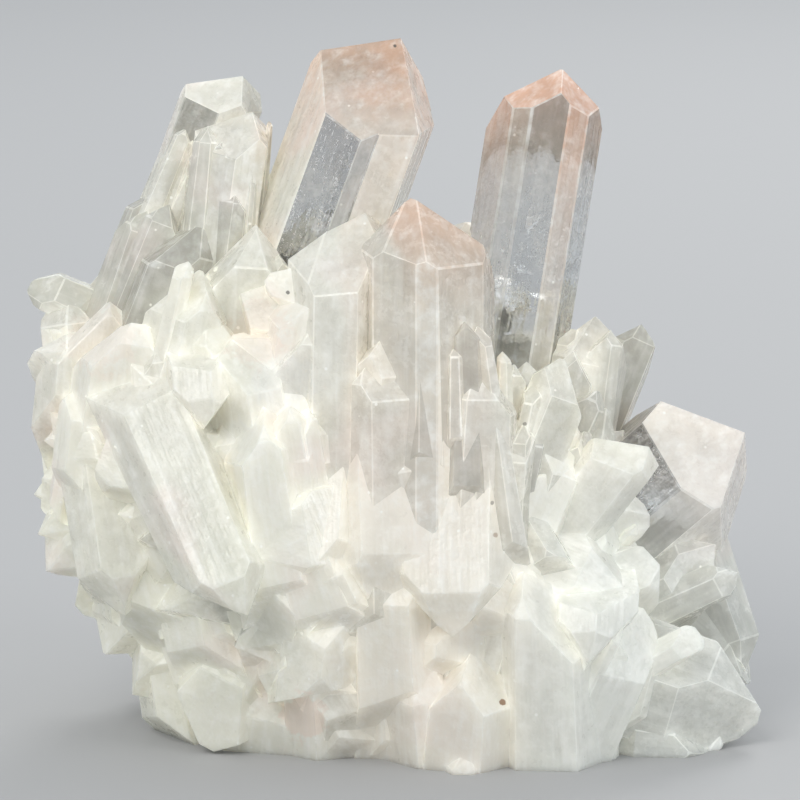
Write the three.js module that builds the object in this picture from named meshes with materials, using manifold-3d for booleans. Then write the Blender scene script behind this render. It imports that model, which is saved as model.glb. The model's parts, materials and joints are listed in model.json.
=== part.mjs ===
// A quartz cluster about 11 cm across, grown together as one piece of stone.
//
// Long clear and milky points stand up at the back, stubbier ones lean out at the sides, and
// the front is a crowd of milky crystals that point down and outwards. Every crystal is a
// six-sided prism closed by sloping faces, and all of them are joined into one solid. The
// underside is sawn flat, so the cluster stands by itself.
//
// Millimetres, +Z up, the front towards -Y. The origin is under the middle of the cluster, on
// the surface that it stands on.

import * as THREE from 'three';
import { mergeVertices } from 'three/addons/utils/BufferGeometryUtils.js';
import Module from 'manifold-3d';

// Angle between the long axis of a quartz crystal and the normal of an end face.
const END_FACE_ANGLE = 51.8;

// The foot of an ordinary crystal slopes back into the stone by this angle.
const FOOT_SLOPE = 50;

// Crystals are placed as they look from the front: across to the right of the middle, up from
// the lowest point, and depth away from the viewer. The viewer looks down by VIEW_TILT.
const VIEW_TILT = THREE.MathUtils.degToRad(11);
const VIEW_DISTANCE = 900;
const AIM_HEIGHT = 50;
const AIM_UP = 56;

const STONE_COLOUR = 0xece8e0;
const STONE_ROUGHNESS = 0.25;

// Corners nearer than this to a plane or to each other count as touching.
const TOUCH = 1e-5;

const degrees = THREE.MathUtils.degToRad;
const sinTilt = Math.sin(VIEW_TILT);
const cosTilt = Math.cos(VIEW_TILT);
const viewRight = new THREE.Vector3(1, 0, 0);
const viewUp = new THREE.Vector3(0, sinTilt, cosTilt);
const viewNear = new THREE.Vector3(0, -cosTilt, sinTilt);

// The point that is seen at a place in the front view and lies at a given depth.
function seen(across, up, depth) {
  const rise = up - AIM_UP;
  const height = (rise * (1 + (depth * cosTilt) / VIEW_DISTANCE) - depth * sinTilt)
    / (cosTilt + (rise * sinTilt) / VIEW_DISTANCE);
  const spread = 1 + (depth * cosTilt - height * sinTilt) / VIEW_DISTANCE;
  return new THREE.Vector3(across * spread, depth, AIM_HEIGHT + height);
}

// The three directions of a crystal: along it, to its right and towards the viewer. lean turns
// it clockwise from upright in the front view, and pitch tips it towards the viewer.
function directions(lean, pitch) {
  const inPlane = viewRight.clone().multiplyScalar(Math.sin(degrees(lean)))
    .addScaledVector(viewUp, Math.cos(degrees(lean)));
  const along = inPlane.clone().multiplyScalar(Math.cos(degrees(pitch)))
    .addScaledVector(viewNear, Math.sin(degrees(pitch)));
  const right = viewRight.clone().multiplyScalar(Math.cos(degrees(lean)))
    .addScaledVector(viewUp, -Math.sin(degrees(lean)));
  const near = viewNear.clone().multiplyScalar(Math.cos(degrees(pitch)))
    .addScaledVector(inPlane, -Math.sin(degrees(pitch)));
  return { along, right, near };
}

// The solid that is left when everything outside each plane is taken away.
function solidInside(planes) {
  const corners = [];
  const count = planes.length;
  for (let i = 0; i < count; i += 1) {
    for (let j = i + 1; j < count; j += 1) {
      for (let k = j + 1; k < count; k += 1) {
        const [a, b, c] = [planes[i], planes[j], planes[k]];
        const cross = new THREE.Vector3().crossVectors(b.normal, c.normal);
        const volume = a.normal.dot(cross);
        if (Math.abs(volume) < TOUCH) continue;
        const corner = cross.multiplyScalar(a.reach)
          .addScaledVector(new THREE.Vector3().crossVectors(c.normal, a.normal), b.reach)
          .addScaledVector(new THREE.Vector3().crossVectors(a.normal, b.normal), c.reach)
          .divideScalar(volume);
        const kept = planes.every((plane) => plane.normal.dot(corner) < plane.reach + TOUCH);
        const known = corners.some((other) => other.distanceTo(corner) < 2 * TOUCH);
        if (kept && !known) corners.push(corner);
      }
    }
  }
  const triangles = [];
  for (const plane of planes) {
    const rim = corners.map((corner, index) => ({ corner, index }))
      .filter(({ corner }) => Math.abs(plane.normal.dot(corner) - plane.reach) < 3 * TOUCH);
    if (rim.length < 3) continue;
    const middle = rim.reduce((sum, { corner }) => sum.add(corner), new THREE.Vector3())
      .divideScalar(rim.length);
    const first = rim[0].corner.clone().sub(middle).normalize();
    const second = new THREE.Vector3().crossVectors(plane.normal, first);
    const turn = ({ corner }) => {
      const out = corner.clone().sub(middle);
      return Math.atan2(out.dot(second), out.dot(first));
    };
    rim.sort((p, q) => turn(p) - turn(q));
    for (let i = 1; i < rim.length - 1; i += 1) {
      triangles.push(rim[0].index, rim[i].index, rim[i + 1].index);
    }
  }
  return { corners, triangles };
}

// One crystal point. The prism has a face for each [turn, reach] in sides, where turn goes
// round the axis from the right through the front, and reach is the distance from the axis.
// The end has a face for each [turn, drop, slope] in ends, where drop is how far below the tip
// its plane meets the axis. taper leans the prism faces in towards the tip.
function crystal({
  at, lean = 0, pitch = 0, long, sides, ends, taper = 0, footSlope = 0, frame, tip = seen(...at),
}) {
  const { along, right, near } = frame ?? directions(lean, pitch);
  const facing = (turn) => right.clone().multiplyScalar(Math.cos(degrees(turn)))
    .addScaledVector(near, Math.sin(degrees(turn)));
  const planes = [];
  for (const [turn, reach] of sides) {
    const normal = facing(turn).multiplyScalar(Math.cos(degrees(taper)))
      .addScaledVector(along, Math.sin(degrees(taper)));
    planes.push({ normal, reach: normal.dot(tip) + reach });
  }
  for (const [turn, drop, slope = END_FACE_ANGLE] of ends) {
    const normal = facing(turn).multiplyScalar(Math.sin(degrees(slope)))
      .addScaledVector(along, Math.cos(degrees(slope)));
    planes.push({ normal, reach: normal.dot(tip.clone().addScaledVector(along, -drop)) });
  }
  const foot = tip.clone().addScaledVector(along, -long);
  const under = near.clone().multiplyScalar(Math.sin(degrees(footSlope)))
    .addScaledVector(along, -Math.cos(degrees(footSlope)));
  planes.push({ normal: under, reach: under.dot(foot) });
  return solidInside(planes);
}

// A number from 0 to 1 that differs from crystal to crystal but is the same on every run.
function chance(...values) {
  const mixed = values.reduce((sum, value, index) => sum + value * (12.9898 + 37.719 * index), 0);
  const wave = Math.sin(mixed) * 43758.5453;
  return wave - Math.floor(wave);
}

// An ordinary point: six prism faces round an oval, and six end faces that slope alike but
// start at different heights, so that the tips are sharp, chisel-shaped or blunt.
function point({
  at, tip = seen(...at), lean, pitch, frame = directions(lean, pitch), long, wide, thick, roll,
}) {
  const sides = [];
  const ends = [];
  for (let k = 0; k < 6; k += 1) {
    const turn = roll + 60 * k;
    const across = (wide / 2) * Math.cos(degrees(turn));
    const through = (thick / 2) * Math.sin(degrees(turn));
    sides.push([turn, Math.hypot(across, through) * (0.82 + 0.36 * chance(k, roll, wide))]);
    ends.push([turn, wide * (0.02 + 0.5 * chance(k, wide, roll, thick) ** 1.6)]);
  }
  ends[Math.floor(6 * chance(wide, thick, roll))][1] = 0;
  const solid = crystal({ tip, frame, long, sides, ends, taper: 2, footSlope: FOOT_SLOPE });
  const height = (corner) => corner.dot(frame.along);
  const top = solid.corners.reduce((best, corner) => (height(corner) > height(best) ? corner : best));
  const move = tip.clone().sub(top);
  return { ...solid, corners: solid.corners.map((corner) => corner.clone().add(move)) };
}

// The long points that stand clear of the rest. Two crystals grown side by side make the
// broad one on the left, and they share their end faces.
const broadEnds = [[105, 0], [13, 0], [234, 0]];
const tallPoints = [
  crystal({
    at: [1.1, 109.5, 6],
    lean: 20,
    long: 80,
    sides: [[154, 10.4], [118.7, 12.2], [62, 12.2], [5, 7.5], [310, 9], [262, 9.5], [208, 9.9]],
    ends: broadEnds,
  }),
  crystal({
    at: [1.1, 109.5, 6],
    lean: 20,
    long: 80,
    sides: [[150, 4.7], [90, 13], [5, 8.8], [310, 8.4], [230, 3]],
    ends: broadEnds,
  }),
  crystal({
    at: [25.6, 105.3, 6],
    lean: 9,
    long: 85,
    sides: [
      [150, 6.5], [120, 4.7], [92, 3.4], [62, 3.9], [25, 5.1], [335, 8], [270, 11.5], [210, 11],
    ],
    ends: [[126, 0.9], [47, 1], [240, -0.6], [300, 0]],
  }),
  crystal({
    at: [2.0, 85.2, -19],
    lean: 0,
    pitch: 4,
    long: 52,
    sides: [[155, 6.3], [115, 6], [88, 7.3], [55, 8.4], [15, 11.4], [325, 13], [270, 10], [210, 7]],
    ends: [[100, 0.3], [58, -1], [302, -1], [10, -23.7, 70], [143, 0], [217, 0]],
  }),
  crystal({
    at: [-5.3, 83.9, -17],
    lean: 1,
    pitch: 4,
    long: 50,
    sides: [[150, 8.8], [95, 7.5], [30, 4], [330, 5], [270, 8], [210, 8.8]],
    ends: [[100, 2.5], [126, 0], [234, 0], [20, 0]],
  }),
  crystal({
    at: [-23.0, 103.8, 10],
    lean: 20,
    long: 52,
    sides: [[160, 7], [115, 5], [70, 4.5], [20, 4], [325, 5], [270, 6], [215, 6.5]],
    ends: [[110, 0], [30, -0.5], [240, 0]],
  }),
  crystal({
    at: [-20.9, 98.6, 3],
    lean: 8,
    long: 45,
    sides: [[0, 2.8], [60, 4.5], [120, 6], [165, 8], [225, 6], [300, 5]],
    ends: [[113, 0], [247, 0], [20, 0.5]],
  }),
];

// The broad points that lean out to the right, below the tall ones.
const rightPoints = [
  crystal({
    at: [51.5, 50.8, 0],
    lean: 49.5,
    pitch: 6,
    long: 50,
    sides: [[170, 11], [106.5, 8.7], [86, 9.4], [35, 10.4], [320, 10.6], [270, 8], [225, 9]],
    ends: [[100, 0], [12, -2], [232, 0]],
  }),
  crystal({
    at: [38.4, 48.2, -18],
    lean: 38,
    pitch: 16,
    long: 45,
    sides: [[150, 6.5], [95, 3.5], [40, 2.8], [0, 3], [270, 5], [210, 6.5]],
    ends: [[110, 0], [20, 0], [240, 0]],
  }),
];

// Ordinary points of the front, each as across, up and depth of its tip, then lean, pitch,
// width, thickness, length and roll.
const frontRows = [
  // Blades of the upper left, all leaning right.
  [-39.4, 81.3, 4, 16, 0, 6, 5, 18, 10],
  [-35.0, 87.0, 7, 20, 0, 7, 6, 30, 35],
  [-36.8, 83.6, 0, 18, 4, 6, 5, 24, 20],
  [-43.4, 74.9, 3, 2, 0, 7, 7, 18, 0],
  [-33.5, 84.5, -1, 22, 6, 7, 6, 34, 15],
  [-28.5, 82.0, -4, 20, 5, 9, 8, 34, 40],
  [-49.0, 71.2, 0, -8, 0, 9, 9, 16, 10],
  [-42.5, 70.0, -8, 4, 8, 13, 10, 24, 25],
  // Broad milky points above the middle.
  [-20.8, 81.5, -9, 3, 6, 15, 12, 48, 35],
  [-28.5, 74.5, -15, 12, 12, 12, 10, 34, 10],
  [-37.0, 66.5, -17, 8, 20, 14, 11, 28, 30],
  [-17.3, 77.0, -12, -2, 8, 8, 7, 34, 5],
  // Small clear point at the far left, and the worn flank below it.
  [-55.0, 71.6, 2, -66, 0, 6, 5, 14, 10],
  [-53.9, 62.6, -8, -75, 10, 11, 10, 20, 35],
  [-52.4, 49.0, -10, -95, 10, 12, 11, 20, 25],
  [-54.0, 41.0, -5, -100, 5, 13, 12, 20, 50],
  [-53.3, 35.0, -8, -115, 8, 12, 11, 20, 15],
  [-52.2, 29.5, -8, -125, 5, 13, 11, 20, 40],
  [-47.8, 24.4, -5, -132, 5, 14, 11, 20, 0],
  [-43.2, 17.0, -10, -135, 10, 13, 11, 20, 30],
  [-39.2, 11.0, -12, -138, 10, 13, 11, 20, 10],
  [-32.6, 6.2, -12, -140, 12, 13, 12, 20, 45],
  [-27.0, 2.4, -22, -150, 16, 14, 12, 22, 20],
  [-42.5, 50.7, -21, -70, 20, 14, 10, 24, 35],
  [-48.5, 44.7, -16, -100, 16, 13, 11, 24, 15],
  [-39.5, 61.0, -18, -40, 18, 14, 10, 26, 50],
  // Broad points that hang down on the left.
  [-40.3, 22.8, -21, 172, 12, 14, 11, 28, 40],
  [-21.7, 22.8, -36, 156, 18, 17, 12, 46, 35],
  [-28.3, 51.0, -28, 176, 14, 10, 7, 18, 15],
  [-12.0, 27.0, -32, 184, 10, 14, 9, 34, 10],
  [-19.5, 53.0, -27, -8, 8, 14, 10, 30, 35],
  [-3.5, 24.5, -32, 178, 10, 12, 9, 34, 40],
  // Upright ribs of the middle.
  [-14.0, 57.0, -25, -6, 16, 10, 9, 22, 40],
  [0.5, 60.5, -26, -1, 10, 8, 6, 32, 10],
  [8.0, 65.7, -25, 1, 9, 10, 7, 38, 30],
  [13.4, 60.7, -24, 3, 10, 8, 7, 28, 15],
  // Blades that fan out right of the middle.
  [20.0, 61.0, -13, 10, 5, 7, 6, 30, 10],
  [24.5, 57.0, -16, 18, 8, 7, 6, 30, 35],
  [17.8, 53.0, -23, 6, 10, 7, 7, 28, 20],
  [22.5, 50.0, -22, 16, 12, 7, 6, 26, 50],
  [27.2, 62.7, -8, 12, 4, 8, 7, 35, 5],
  [28.5, 50.5, -17, 26, 10, 8, 7, 26, 25],
  [30.4, 67.8, 0, 12, 0, 10, 9, 40, 25],
  [37.3, 66.6, 6, 24, 0, 7, 7, 40, 10],
  [32.0, 54.0, -9, 25, 8, 9, 8, 30, 40],
  [34.5, 50.7, -3, 35, 5, 8, 8, 30, 15],
  // Lower right.
  [48.4, 33.5, -8, 60, 10, 13, 11, 30, 20],
  [40.0, 30.5, -19, 42, 20, 12, 9, 26, 45],
  [52.6, 14.6, -4, 160, 5, 9, 8, 24, 20],
  [53.2, 12.5, -4, 130, 5, 10, 10, 30, 40],
  [54.6, 6.6, -17, 108, 8, 15, 14, 34, 10],
  [50.0, 2.0, -17, 96, 6, 13, 11, 26, 30],
  [45.5, 20.2, -19, 58, 22, 13, 11, 26, 30],
  [37.5, 24.0, -23, 24, 18, 13, 11, 26, 0],
  [39.0, 10.0, -19, 24, 34, 15, 11, 24, 15],
  // Broad points that hang down in front, and the upright ones between them.
  [8.9, 19.5, -35, 180, 14, 15, 10, 27, 25],
  [28.0, 13.6, -30, 183, 12, 12, 9, 32, 10],
  [19.5, 29.5, -30, -2, 21, 16, 11, 36, 35],
  [33.0, 20.5, -27, 8, 22, 14, 11, 28, 5],
  [4.0, 18.5, -29, -6, 27, 14, 11, 28, 20],
  [12.0, 18.7, -30, 4, 24, 13, 11, 30, 45],
  [-8.0, 23.7, -28, -4, 34, 13, 9, 34, 10],
  [-1.0, 12.5, -24, 4, 30, 10, 8, 22, 30],
  // Lower left, below the hanging points.
  [-22.5, 9.0, -23, 192, 18, 14, 11, 26, 20],
  [-14.0, 14.5, -22, 8, 34, 12, 9, 22, 40],
  [-31.5, 12.5, -19, 206, 15, 13, 10, 24, 5],
  [-35.0, 19.2, -19, 212, 18, 12, 10, 24, 25],
  [-15.5, 17.7, -29, 174, 13, 13, 10, 28, 50],
];
const frontPoints = frontRows.map((row) => {
  const [across, up, depth, lean, pitch, wide, thick, long, roll] = row;
  return point({ at: [across, up, depth], lean, pitch, wide, thick, long, roll });
});

// How far the mass reaches to the left, to the right and to the front and back, by height.
const LEFT_REACH = [[0, 31], [8, 37], [22, 46], [36, 52], [58, 50], [70, 42], [82, 32]];
const RIGHT_REACH = [[0, 50], [14, 50], [30, 44], [45, 38], [60, 29], [82, 20]];
const DEEP_REACH = [[0, 20], [8, 27], [20, 34], [38, 33], [58, 26], [72, 17], [82, 12]];
const MASS_TOP = 72;

function reachAt(profile, height) {
  const last = profile.length - 1;
  const above = Math.min(Math.max(profile.findIndex(([level]) => level > height), 1), last);
  const [[lowLevel, lowReach], [highLevel, highReach]] = [profile[above - 1], profile[above]];
  const part = THREE.MathUtils.clamp((height - lowLevel) / (highLevel - lowLevel), 0, 1);
  return lowReach + (highReach - lowReach) * part;
}

// A point of the mass's surface: turn goes round from the right through the back.
function onMass(turn, height, share) {
  const side = Math.cos(degrees(turn));
  const deep = Math.sin(degrees(turn));
  const wide = reachAt(side > 0 ? RIGHT_REACH : LEFT_REACH, height);
  const reach = share / Math.hypot(side / wide, deep / reachAt(DEEP_REACH, height));
  return new THREE.Vector3(side * reach, deep * reach, height);
}

// The mass inside, which the crystals grow from, as rings of uneven flat faces.
function core() {
  const levels = [-4, 10, 24, 38, 52, 64, MASS_TOP];
  const round = 15;
  const corners = levels.flatMap((level, row) => Array.from({ length: round }, (_, k) => {
    const turn = (360 * (k + 0.5 * (row % 2) + 0.3 * chance(k, row))) / round;
    return onMass(turn, level, row === levels.length - 1 ? 0.3 : 0.76 + 0.1 * chance(row, k));
  }));
  const triangles = [];
  for (let row = 0; row < levels.length - 1; row += 1) {
    for (let k = 0; k < round; k += 1) {
      const low = row * round + k;
      const lowNext = row * round + ((k + 1) % round);
      triangles.push(low, lowNext, low + round, lowNext, lowNext + round, low + round);
    }
  }
  const top = (levels.length - 1) * round;
  for (let k = 1; k < round - 1; k += 1) {
    triangles.push(0, k + 1, k, top, top + k, top + k + 1);
  }
  return { corners, triangles };
}

// Stubby crystals that cover the rest of the mass all the way round. Seen from the front they
// fan out from the middle of the mass, and each leans out of the surface by a share of its own.
const FAN_HEIGHT = 36;

function crowd() {
  const crystals = [];
  const rings = [
    { height: 7, count: 14 },
    { height: 21, count: 15 },
    { height: 35, count: 14 },
    { height: 49, count: 13 },
    { height: 62, count: 10 },
    { height: 70, count: 6 },
  ];
  rings.forEach(({ height, count }, ring) => {
    for (let k = 0; k < count; k += 1) {
      const turn = (360 * (k + 0.5 * (ring % 2) + 0.4 * chance(k, ring, 3))) / count;
      const level = height + 8 * (chance(k, ring, 5) - 0.5);
      const tip = onMass(turn, level, 0.99 + 0.08 * chance(k, ring, 7));
      const beforeMiddle = tip.y < -8 && tip.x > -18 && tip.x < 20;
      if (beforeMiddle) continue;
      const fan = new THREE.Vector3(tip.x, 0, tip.z - FAN_HEIGHT).normalize();
      const out = new THREE.Vector3(tip.x * 0.5, tip.y, 0).normalize();
      const share = degrees(24 + 26 * chance(k, ring, 9) + (tip.y > 0 ? 14 : 0));
      const along = fan.multiplyScalar(Math.cos(share))
        .addScaledVector(out, Math.sin(share))
        .normalize();
      const right = new THREE.Vector3().crossVectors(out, along).normalize();
      const near = new THREE.Vector3().crossVectors(along, right).negate();
      const size = 13 + 6 * chance(k, ring, 11);
      crystals.push(point({
        tip,
        frame: { along, right, near },
        long: 24,
        wide: size,
        thick: size * 0.8,
        roll: 60 * chance(k, ring, 13),
      }));
    }
  });
  return crystals;
}

// A block larger than the stone, which takes away everything below the surface it stands on.
const SAW_SIZE = 400;

// Every piece is joined to the stone, and what reaches below the surface is sawn off.
const wasm = await Module();
wasm.setup();

function toManifold({ corners, triangles }) {
  const vertProperties = new Float32Array(corners.flatMap((corner) => corner.toArray()));
  return new wasm.Manifold(new wasm.Mesh({
    numProp: 3,
    vertProperties,
    triVerts: new Uint32Array(triangles),
  }));
}

function boxManifold(wide, thick, tall, height) {
  const geometry = new THREE.BoxGeometry(wide, thick, tall).translate(0, 0, height);
  geometry.deleteAttribute('normal');
  geometry.deleteAttribute('uv');
  const merged = mergeVertices(geometry);
  return new wasm.Manifold(new wasm.Mesh({
    numProp: 3,
    vertProperties: merged.attributes.position.array,
    triVerts: Uint32Array.from(merged.index.array),
  }));
}

let stone = toManifold(core());
for (const piece of [...crowd(), ...tallPoints, ...rightPoints, ...frontPoints]) {
  stone = stone.add(toManifold(piece));
}
stone = stone.subtract(boxManifold(SAW_SIZE, SAW_SIZE, SAW_SIZE, -SAW_SIZE / 2));

// Crystals that lean against each other can shut in a small gap. The stone is solid there, so
// only the outer skin is kept, which is the connected part that has the most triangles.
function outerSkin({ vertProperties, triVerts }) {
  const leader = Array.from({ length: vertProperties.length / 3 }, (_, index) => index);
  const find = (index) => {
    let top = index;
    while (leader[top] !== top) top = leader[top];
    leader[index] = top;
    return top;
  };
  for (let t = 0; t < triVerts.length; t += 3) {
    leader[find(triVerts[t + 1])] = find(triVerts[t]);
    leader[find(triVerts[t + 2])] = find(triVerts[t]);
  }
  const parts = new Map();
  for (let t = 0; t < triVerts.length; t += 3) {
    const key = find(triVerts[t]);
    if (!parts.has(key)) parts.set(key, []);
    parts.get(key).push(triVerts[t], triVerts[t + 1], triVerts[t + 2]);
  }
  return [...parts.values()].reduce((best, part) => (part.length > best.length ? part : best));
}

const joined = stone.getMesh();
const places = new Float32Array(joined.vertProperties);
const skin = new THREE.BufferGeometry();
skin.setAttribute('position', new THREE.BufferAttribute(places, 3));
skin.setIndex(outerSkin(joined));
skin.computeBoundingBox();
const centre = skin.boundingBox.getCenter(new THREE.Vector3());

const quartz = new THREE.Mesh(
  skin,
  new THREE.MeshStandardMaterial({
    color: STONE_COLOUR,
    roughness: STONE_ROUGHNESS,
    metalness: 0,
    flatShading: true,
  }),
);
quartz.name = 'quartz_cluster';
quartz.position.set(-centre.x, -centre.y, 0);

const group = new THREE.Group();
group.userData.shift = [-centre.x, -centre.y, 0];
group.add(quartz);

export default group;
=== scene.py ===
"""A quartz cluster on a pale floor, seen a little from above.

The cluster is one piece of stone. Its crystals are worked out from their flat faces, joined into
one skin, and given a finish that runs from milky to clear. Thin sheets and flecks lie inside the
clear points, as healed cracks do in real quartz; they glow a little with painted light of their
own, so that they show white inside the glass.

Lengths are in millimetres up to the moment when a mesh is made, and in metres from there on.
"""

import json
import logging
from collections.abc import Iterable, Sequence
from dataclasses import dataclass, field
from itertools import combinations

import bpy
import numpy as np
from mathutils import Matrix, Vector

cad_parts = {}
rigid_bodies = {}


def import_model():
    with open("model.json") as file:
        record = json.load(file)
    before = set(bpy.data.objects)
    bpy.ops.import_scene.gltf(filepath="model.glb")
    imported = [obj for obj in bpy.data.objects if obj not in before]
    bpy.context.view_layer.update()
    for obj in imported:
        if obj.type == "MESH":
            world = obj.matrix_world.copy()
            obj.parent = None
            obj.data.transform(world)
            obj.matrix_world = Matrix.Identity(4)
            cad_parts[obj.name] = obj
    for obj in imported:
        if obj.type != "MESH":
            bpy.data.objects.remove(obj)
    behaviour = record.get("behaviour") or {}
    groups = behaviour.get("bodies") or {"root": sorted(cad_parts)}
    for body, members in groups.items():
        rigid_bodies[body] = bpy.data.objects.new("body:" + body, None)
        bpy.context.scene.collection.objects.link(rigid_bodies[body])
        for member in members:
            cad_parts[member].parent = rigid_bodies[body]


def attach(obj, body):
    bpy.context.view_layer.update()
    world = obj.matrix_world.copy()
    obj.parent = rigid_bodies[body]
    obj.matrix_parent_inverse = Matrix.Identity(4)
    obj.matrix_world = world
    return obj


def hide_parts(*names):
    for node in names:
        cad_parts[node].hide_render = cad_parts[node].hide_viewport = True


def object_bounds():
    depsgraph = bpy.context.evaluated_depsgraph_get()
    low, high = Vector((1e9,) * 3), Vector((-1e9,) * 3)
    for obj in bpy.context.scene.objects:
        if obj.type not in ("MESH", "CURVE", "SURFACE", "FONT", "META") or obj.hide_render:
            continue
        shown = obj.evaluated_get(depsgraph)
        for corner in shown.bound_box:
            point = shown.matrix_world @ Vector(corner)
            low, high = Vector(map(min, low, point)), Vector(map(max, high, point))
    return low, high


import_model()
CAD_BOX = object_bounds()

log = logging.getLogger("quartz")

Vec = np.ndarray
Curve = tuple[tuple[float, float], ...]
Colour = tuple[float, float, float, float]
MM = 0.001
TOUCH = 1e-5
END_FACE_ANGLE = 51.8
PRISM_TAPER = 2.0
FOOT_SLOPE = 50.0
QUARTZ_IOR = 1.544
VIEW_TILT = 11.0
VIEW_DISTANCE = 900.0
AIM_HEIGHT = 50.0
AIM_UP = 56.0


def cos(angle: float) -> float:
    """Gives the cosine of an angle in degrees."""
    return float(np.cos(np.radians(angle)))


def sin(angle: float) -> float:
    """Gives the sine of an angle in degrees."""
    return float(np.sin(np.radians(angle)))


VIEW_RIGHT = np.array([1.0, 0.0, 0.0])
VIEW_UP = np.array([0.0, sin(VIEW_TILT), cos(VIEW_TILT)])
VIEW_NEAR = np.array([0.0, -cos(VIEW_TILT), sin(VIEW_TILT)])


def unit(vector: Vec) -> Vec:
    """Gives a vector of length one that points the same way."""
    return vector / np.linalg.norm(vector)


def seen(across: float, up: float, depth: float) -> Vec:
    """Finds the point that shows at a place in the front view.

    The height is where the sight line through (across, up) passes the given depth: the line's
    rise grows with distance, and the view is tilted down.

    Args:
        across: Distance to the right of the middle of the view.
        up: Distance above the lowest point of the view.
        depth: Distance behind the middle of the cluster.

    Returns:
        The point, before the cluster is centred.
    """
    rise = up - AIM_UP
    height = (rise * (1 + depth * cos(VIEW_TILT) / VIEW_DISTANCE) - depth * sin(VIEW_TILT)) / (
        cos(VIEW_TILT) + rise * sin(VIEW_TILT) / VIEW_DISTANCE
    )
    spread = 1 + (depth * cos(VIEW_TILT) - height * sin(VIEW_TILT)) / VIEW_DISTANCE
    return np.array([across * spread, depth, AIM_HEIGHT + height])


def chance(*values: float) -> float:
    """Gives a number from 0 to 1 that looks random and is the same for the same values.

    The values are weighed and summed, and what is left after the point of a large multiple of
    the sum's sine is kept.

    Args:
        *values: Whatever the number should depend on.

    Returns:
        The number.
    """
    mixed = sum(value * (12.9898 + 37.719 * index) for index, value in enumerate(values))
    wave = float(np.sin(mixed)) * 43758.5453
    return wave - float(np.floor(wave))


def added(name: str, data: bpy.types.ID) -> bpy.types.Object:
    """Makes an object and puts it in the scene.

    Args:
        name: Name of the object.
        data: Its mesh, light or camera.

    Returns:
        The object.
    """
    made = bpy.data.objects.new(name, data)
    bpy.context.scene.collection.objects.link(made)
    return made


@dataclass(frozen=True)
class Heading:
    """The three directions of a crystal: along it, to its right and towards the viewer."""

    along: Vec
    right: Vec
    near: Vec

    @classmethod
    def leaning(cls, lean: float, pitch: float) -> "Heading":
        """Makes the directions of a crystal that leans.

        Args:
            lean: Degrees clockwise from upright in the front view.
            pitch: Degrees that the tip comes towards the viewer.

        Returns:
            The crystal's directions.
        """
        in_plane = VIEW_RIGHT * sin(lean) + VIEW_UP * cos(lean)
        return cls(
            along=in_plane * cos(pitch) + VIEW_NEAR * sin(pitch),
            right=VIEW_RIGHT * cos(lean) - VIEW_UP * sin(lean),
            near=VIEW_NEAR * cos(pitch) - in_plane * sin(pitch),
        )

    def facing(self, turn: float) -> Vec:
        """Gives the direction across the crystal at a turn from its right through its front."""
        return self.right * cos(turn) + self.near * sin(turn)


@dataclass
class Solid:
    """A closed body with flat faces: its corners, and each face's corners in order."""

    corners: Vec
    faces: list[list[int]]

    def is_closed(self) -> bool:
        """Tells whether each edge is walked once each way."""
        edges = [(f[k], f[(k + 1) % len(f)]) for f in self.faces for k in range(len(f))]
        return len(set(edges)) == len(edges) and set(edges) == {(b, a) for a, b in edges}


def inside(normals: Vec, reaches: Vec) -> Solid:
    """Builds what is left when everything outside each plane is taken away.

    Every three planes meet in one point, and the points that no plane cuts off are the corners.
    A face's corners lie on its plane and are sorted by their angle about its middle.

    Args:
        normals: One outward direction for each plane.
        reaches: How far each plane lies from the origin along its direction.

    Returns:
        The solid.
    """
    trio = np.array(list(combinations(range(len(normals)), 3)))
    a, b, c = (normals[trio[:, side]] for side in range(3))
    cross = np.cross(b, c)
    volume = (a * cross).sum(1)
    good = np.abs(volume) > TOUCH
    first, second, third = (reaches[trio[:, side]][:, None] for side in range(3))
    meet = first * cross + second * np.cross(c, a) + third * np.cross(a, b)
    corners = meet[good] / volume[good][:, None]
    corners = corners[(corners @ normals.T < reaches + TOUCH).all(1)]
    close = np.linalg.norm(corners[:, None] - corners[None], axis=2) < 2 * TOUCH
    corners = corners[~np.triu(close, 1).any(0)]
    faces = []
    for normal, reach in zip(normals, reaches):
        rim = np.flatnonzero(np.abs(corners @ normal - reach) < 3 * TOUCH)
        if len(rim) < 3:
            continue
        out = corners[rim] - corners[rim].mean(0)
        ahead = unit(out[0])
        angles = np.arctan2(out @ np.cross(normal, ahead), out @ ahead)
        faces.append(rim[np.argsort(angles)].tolist())
    return Solid(corners, faces)


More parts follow.
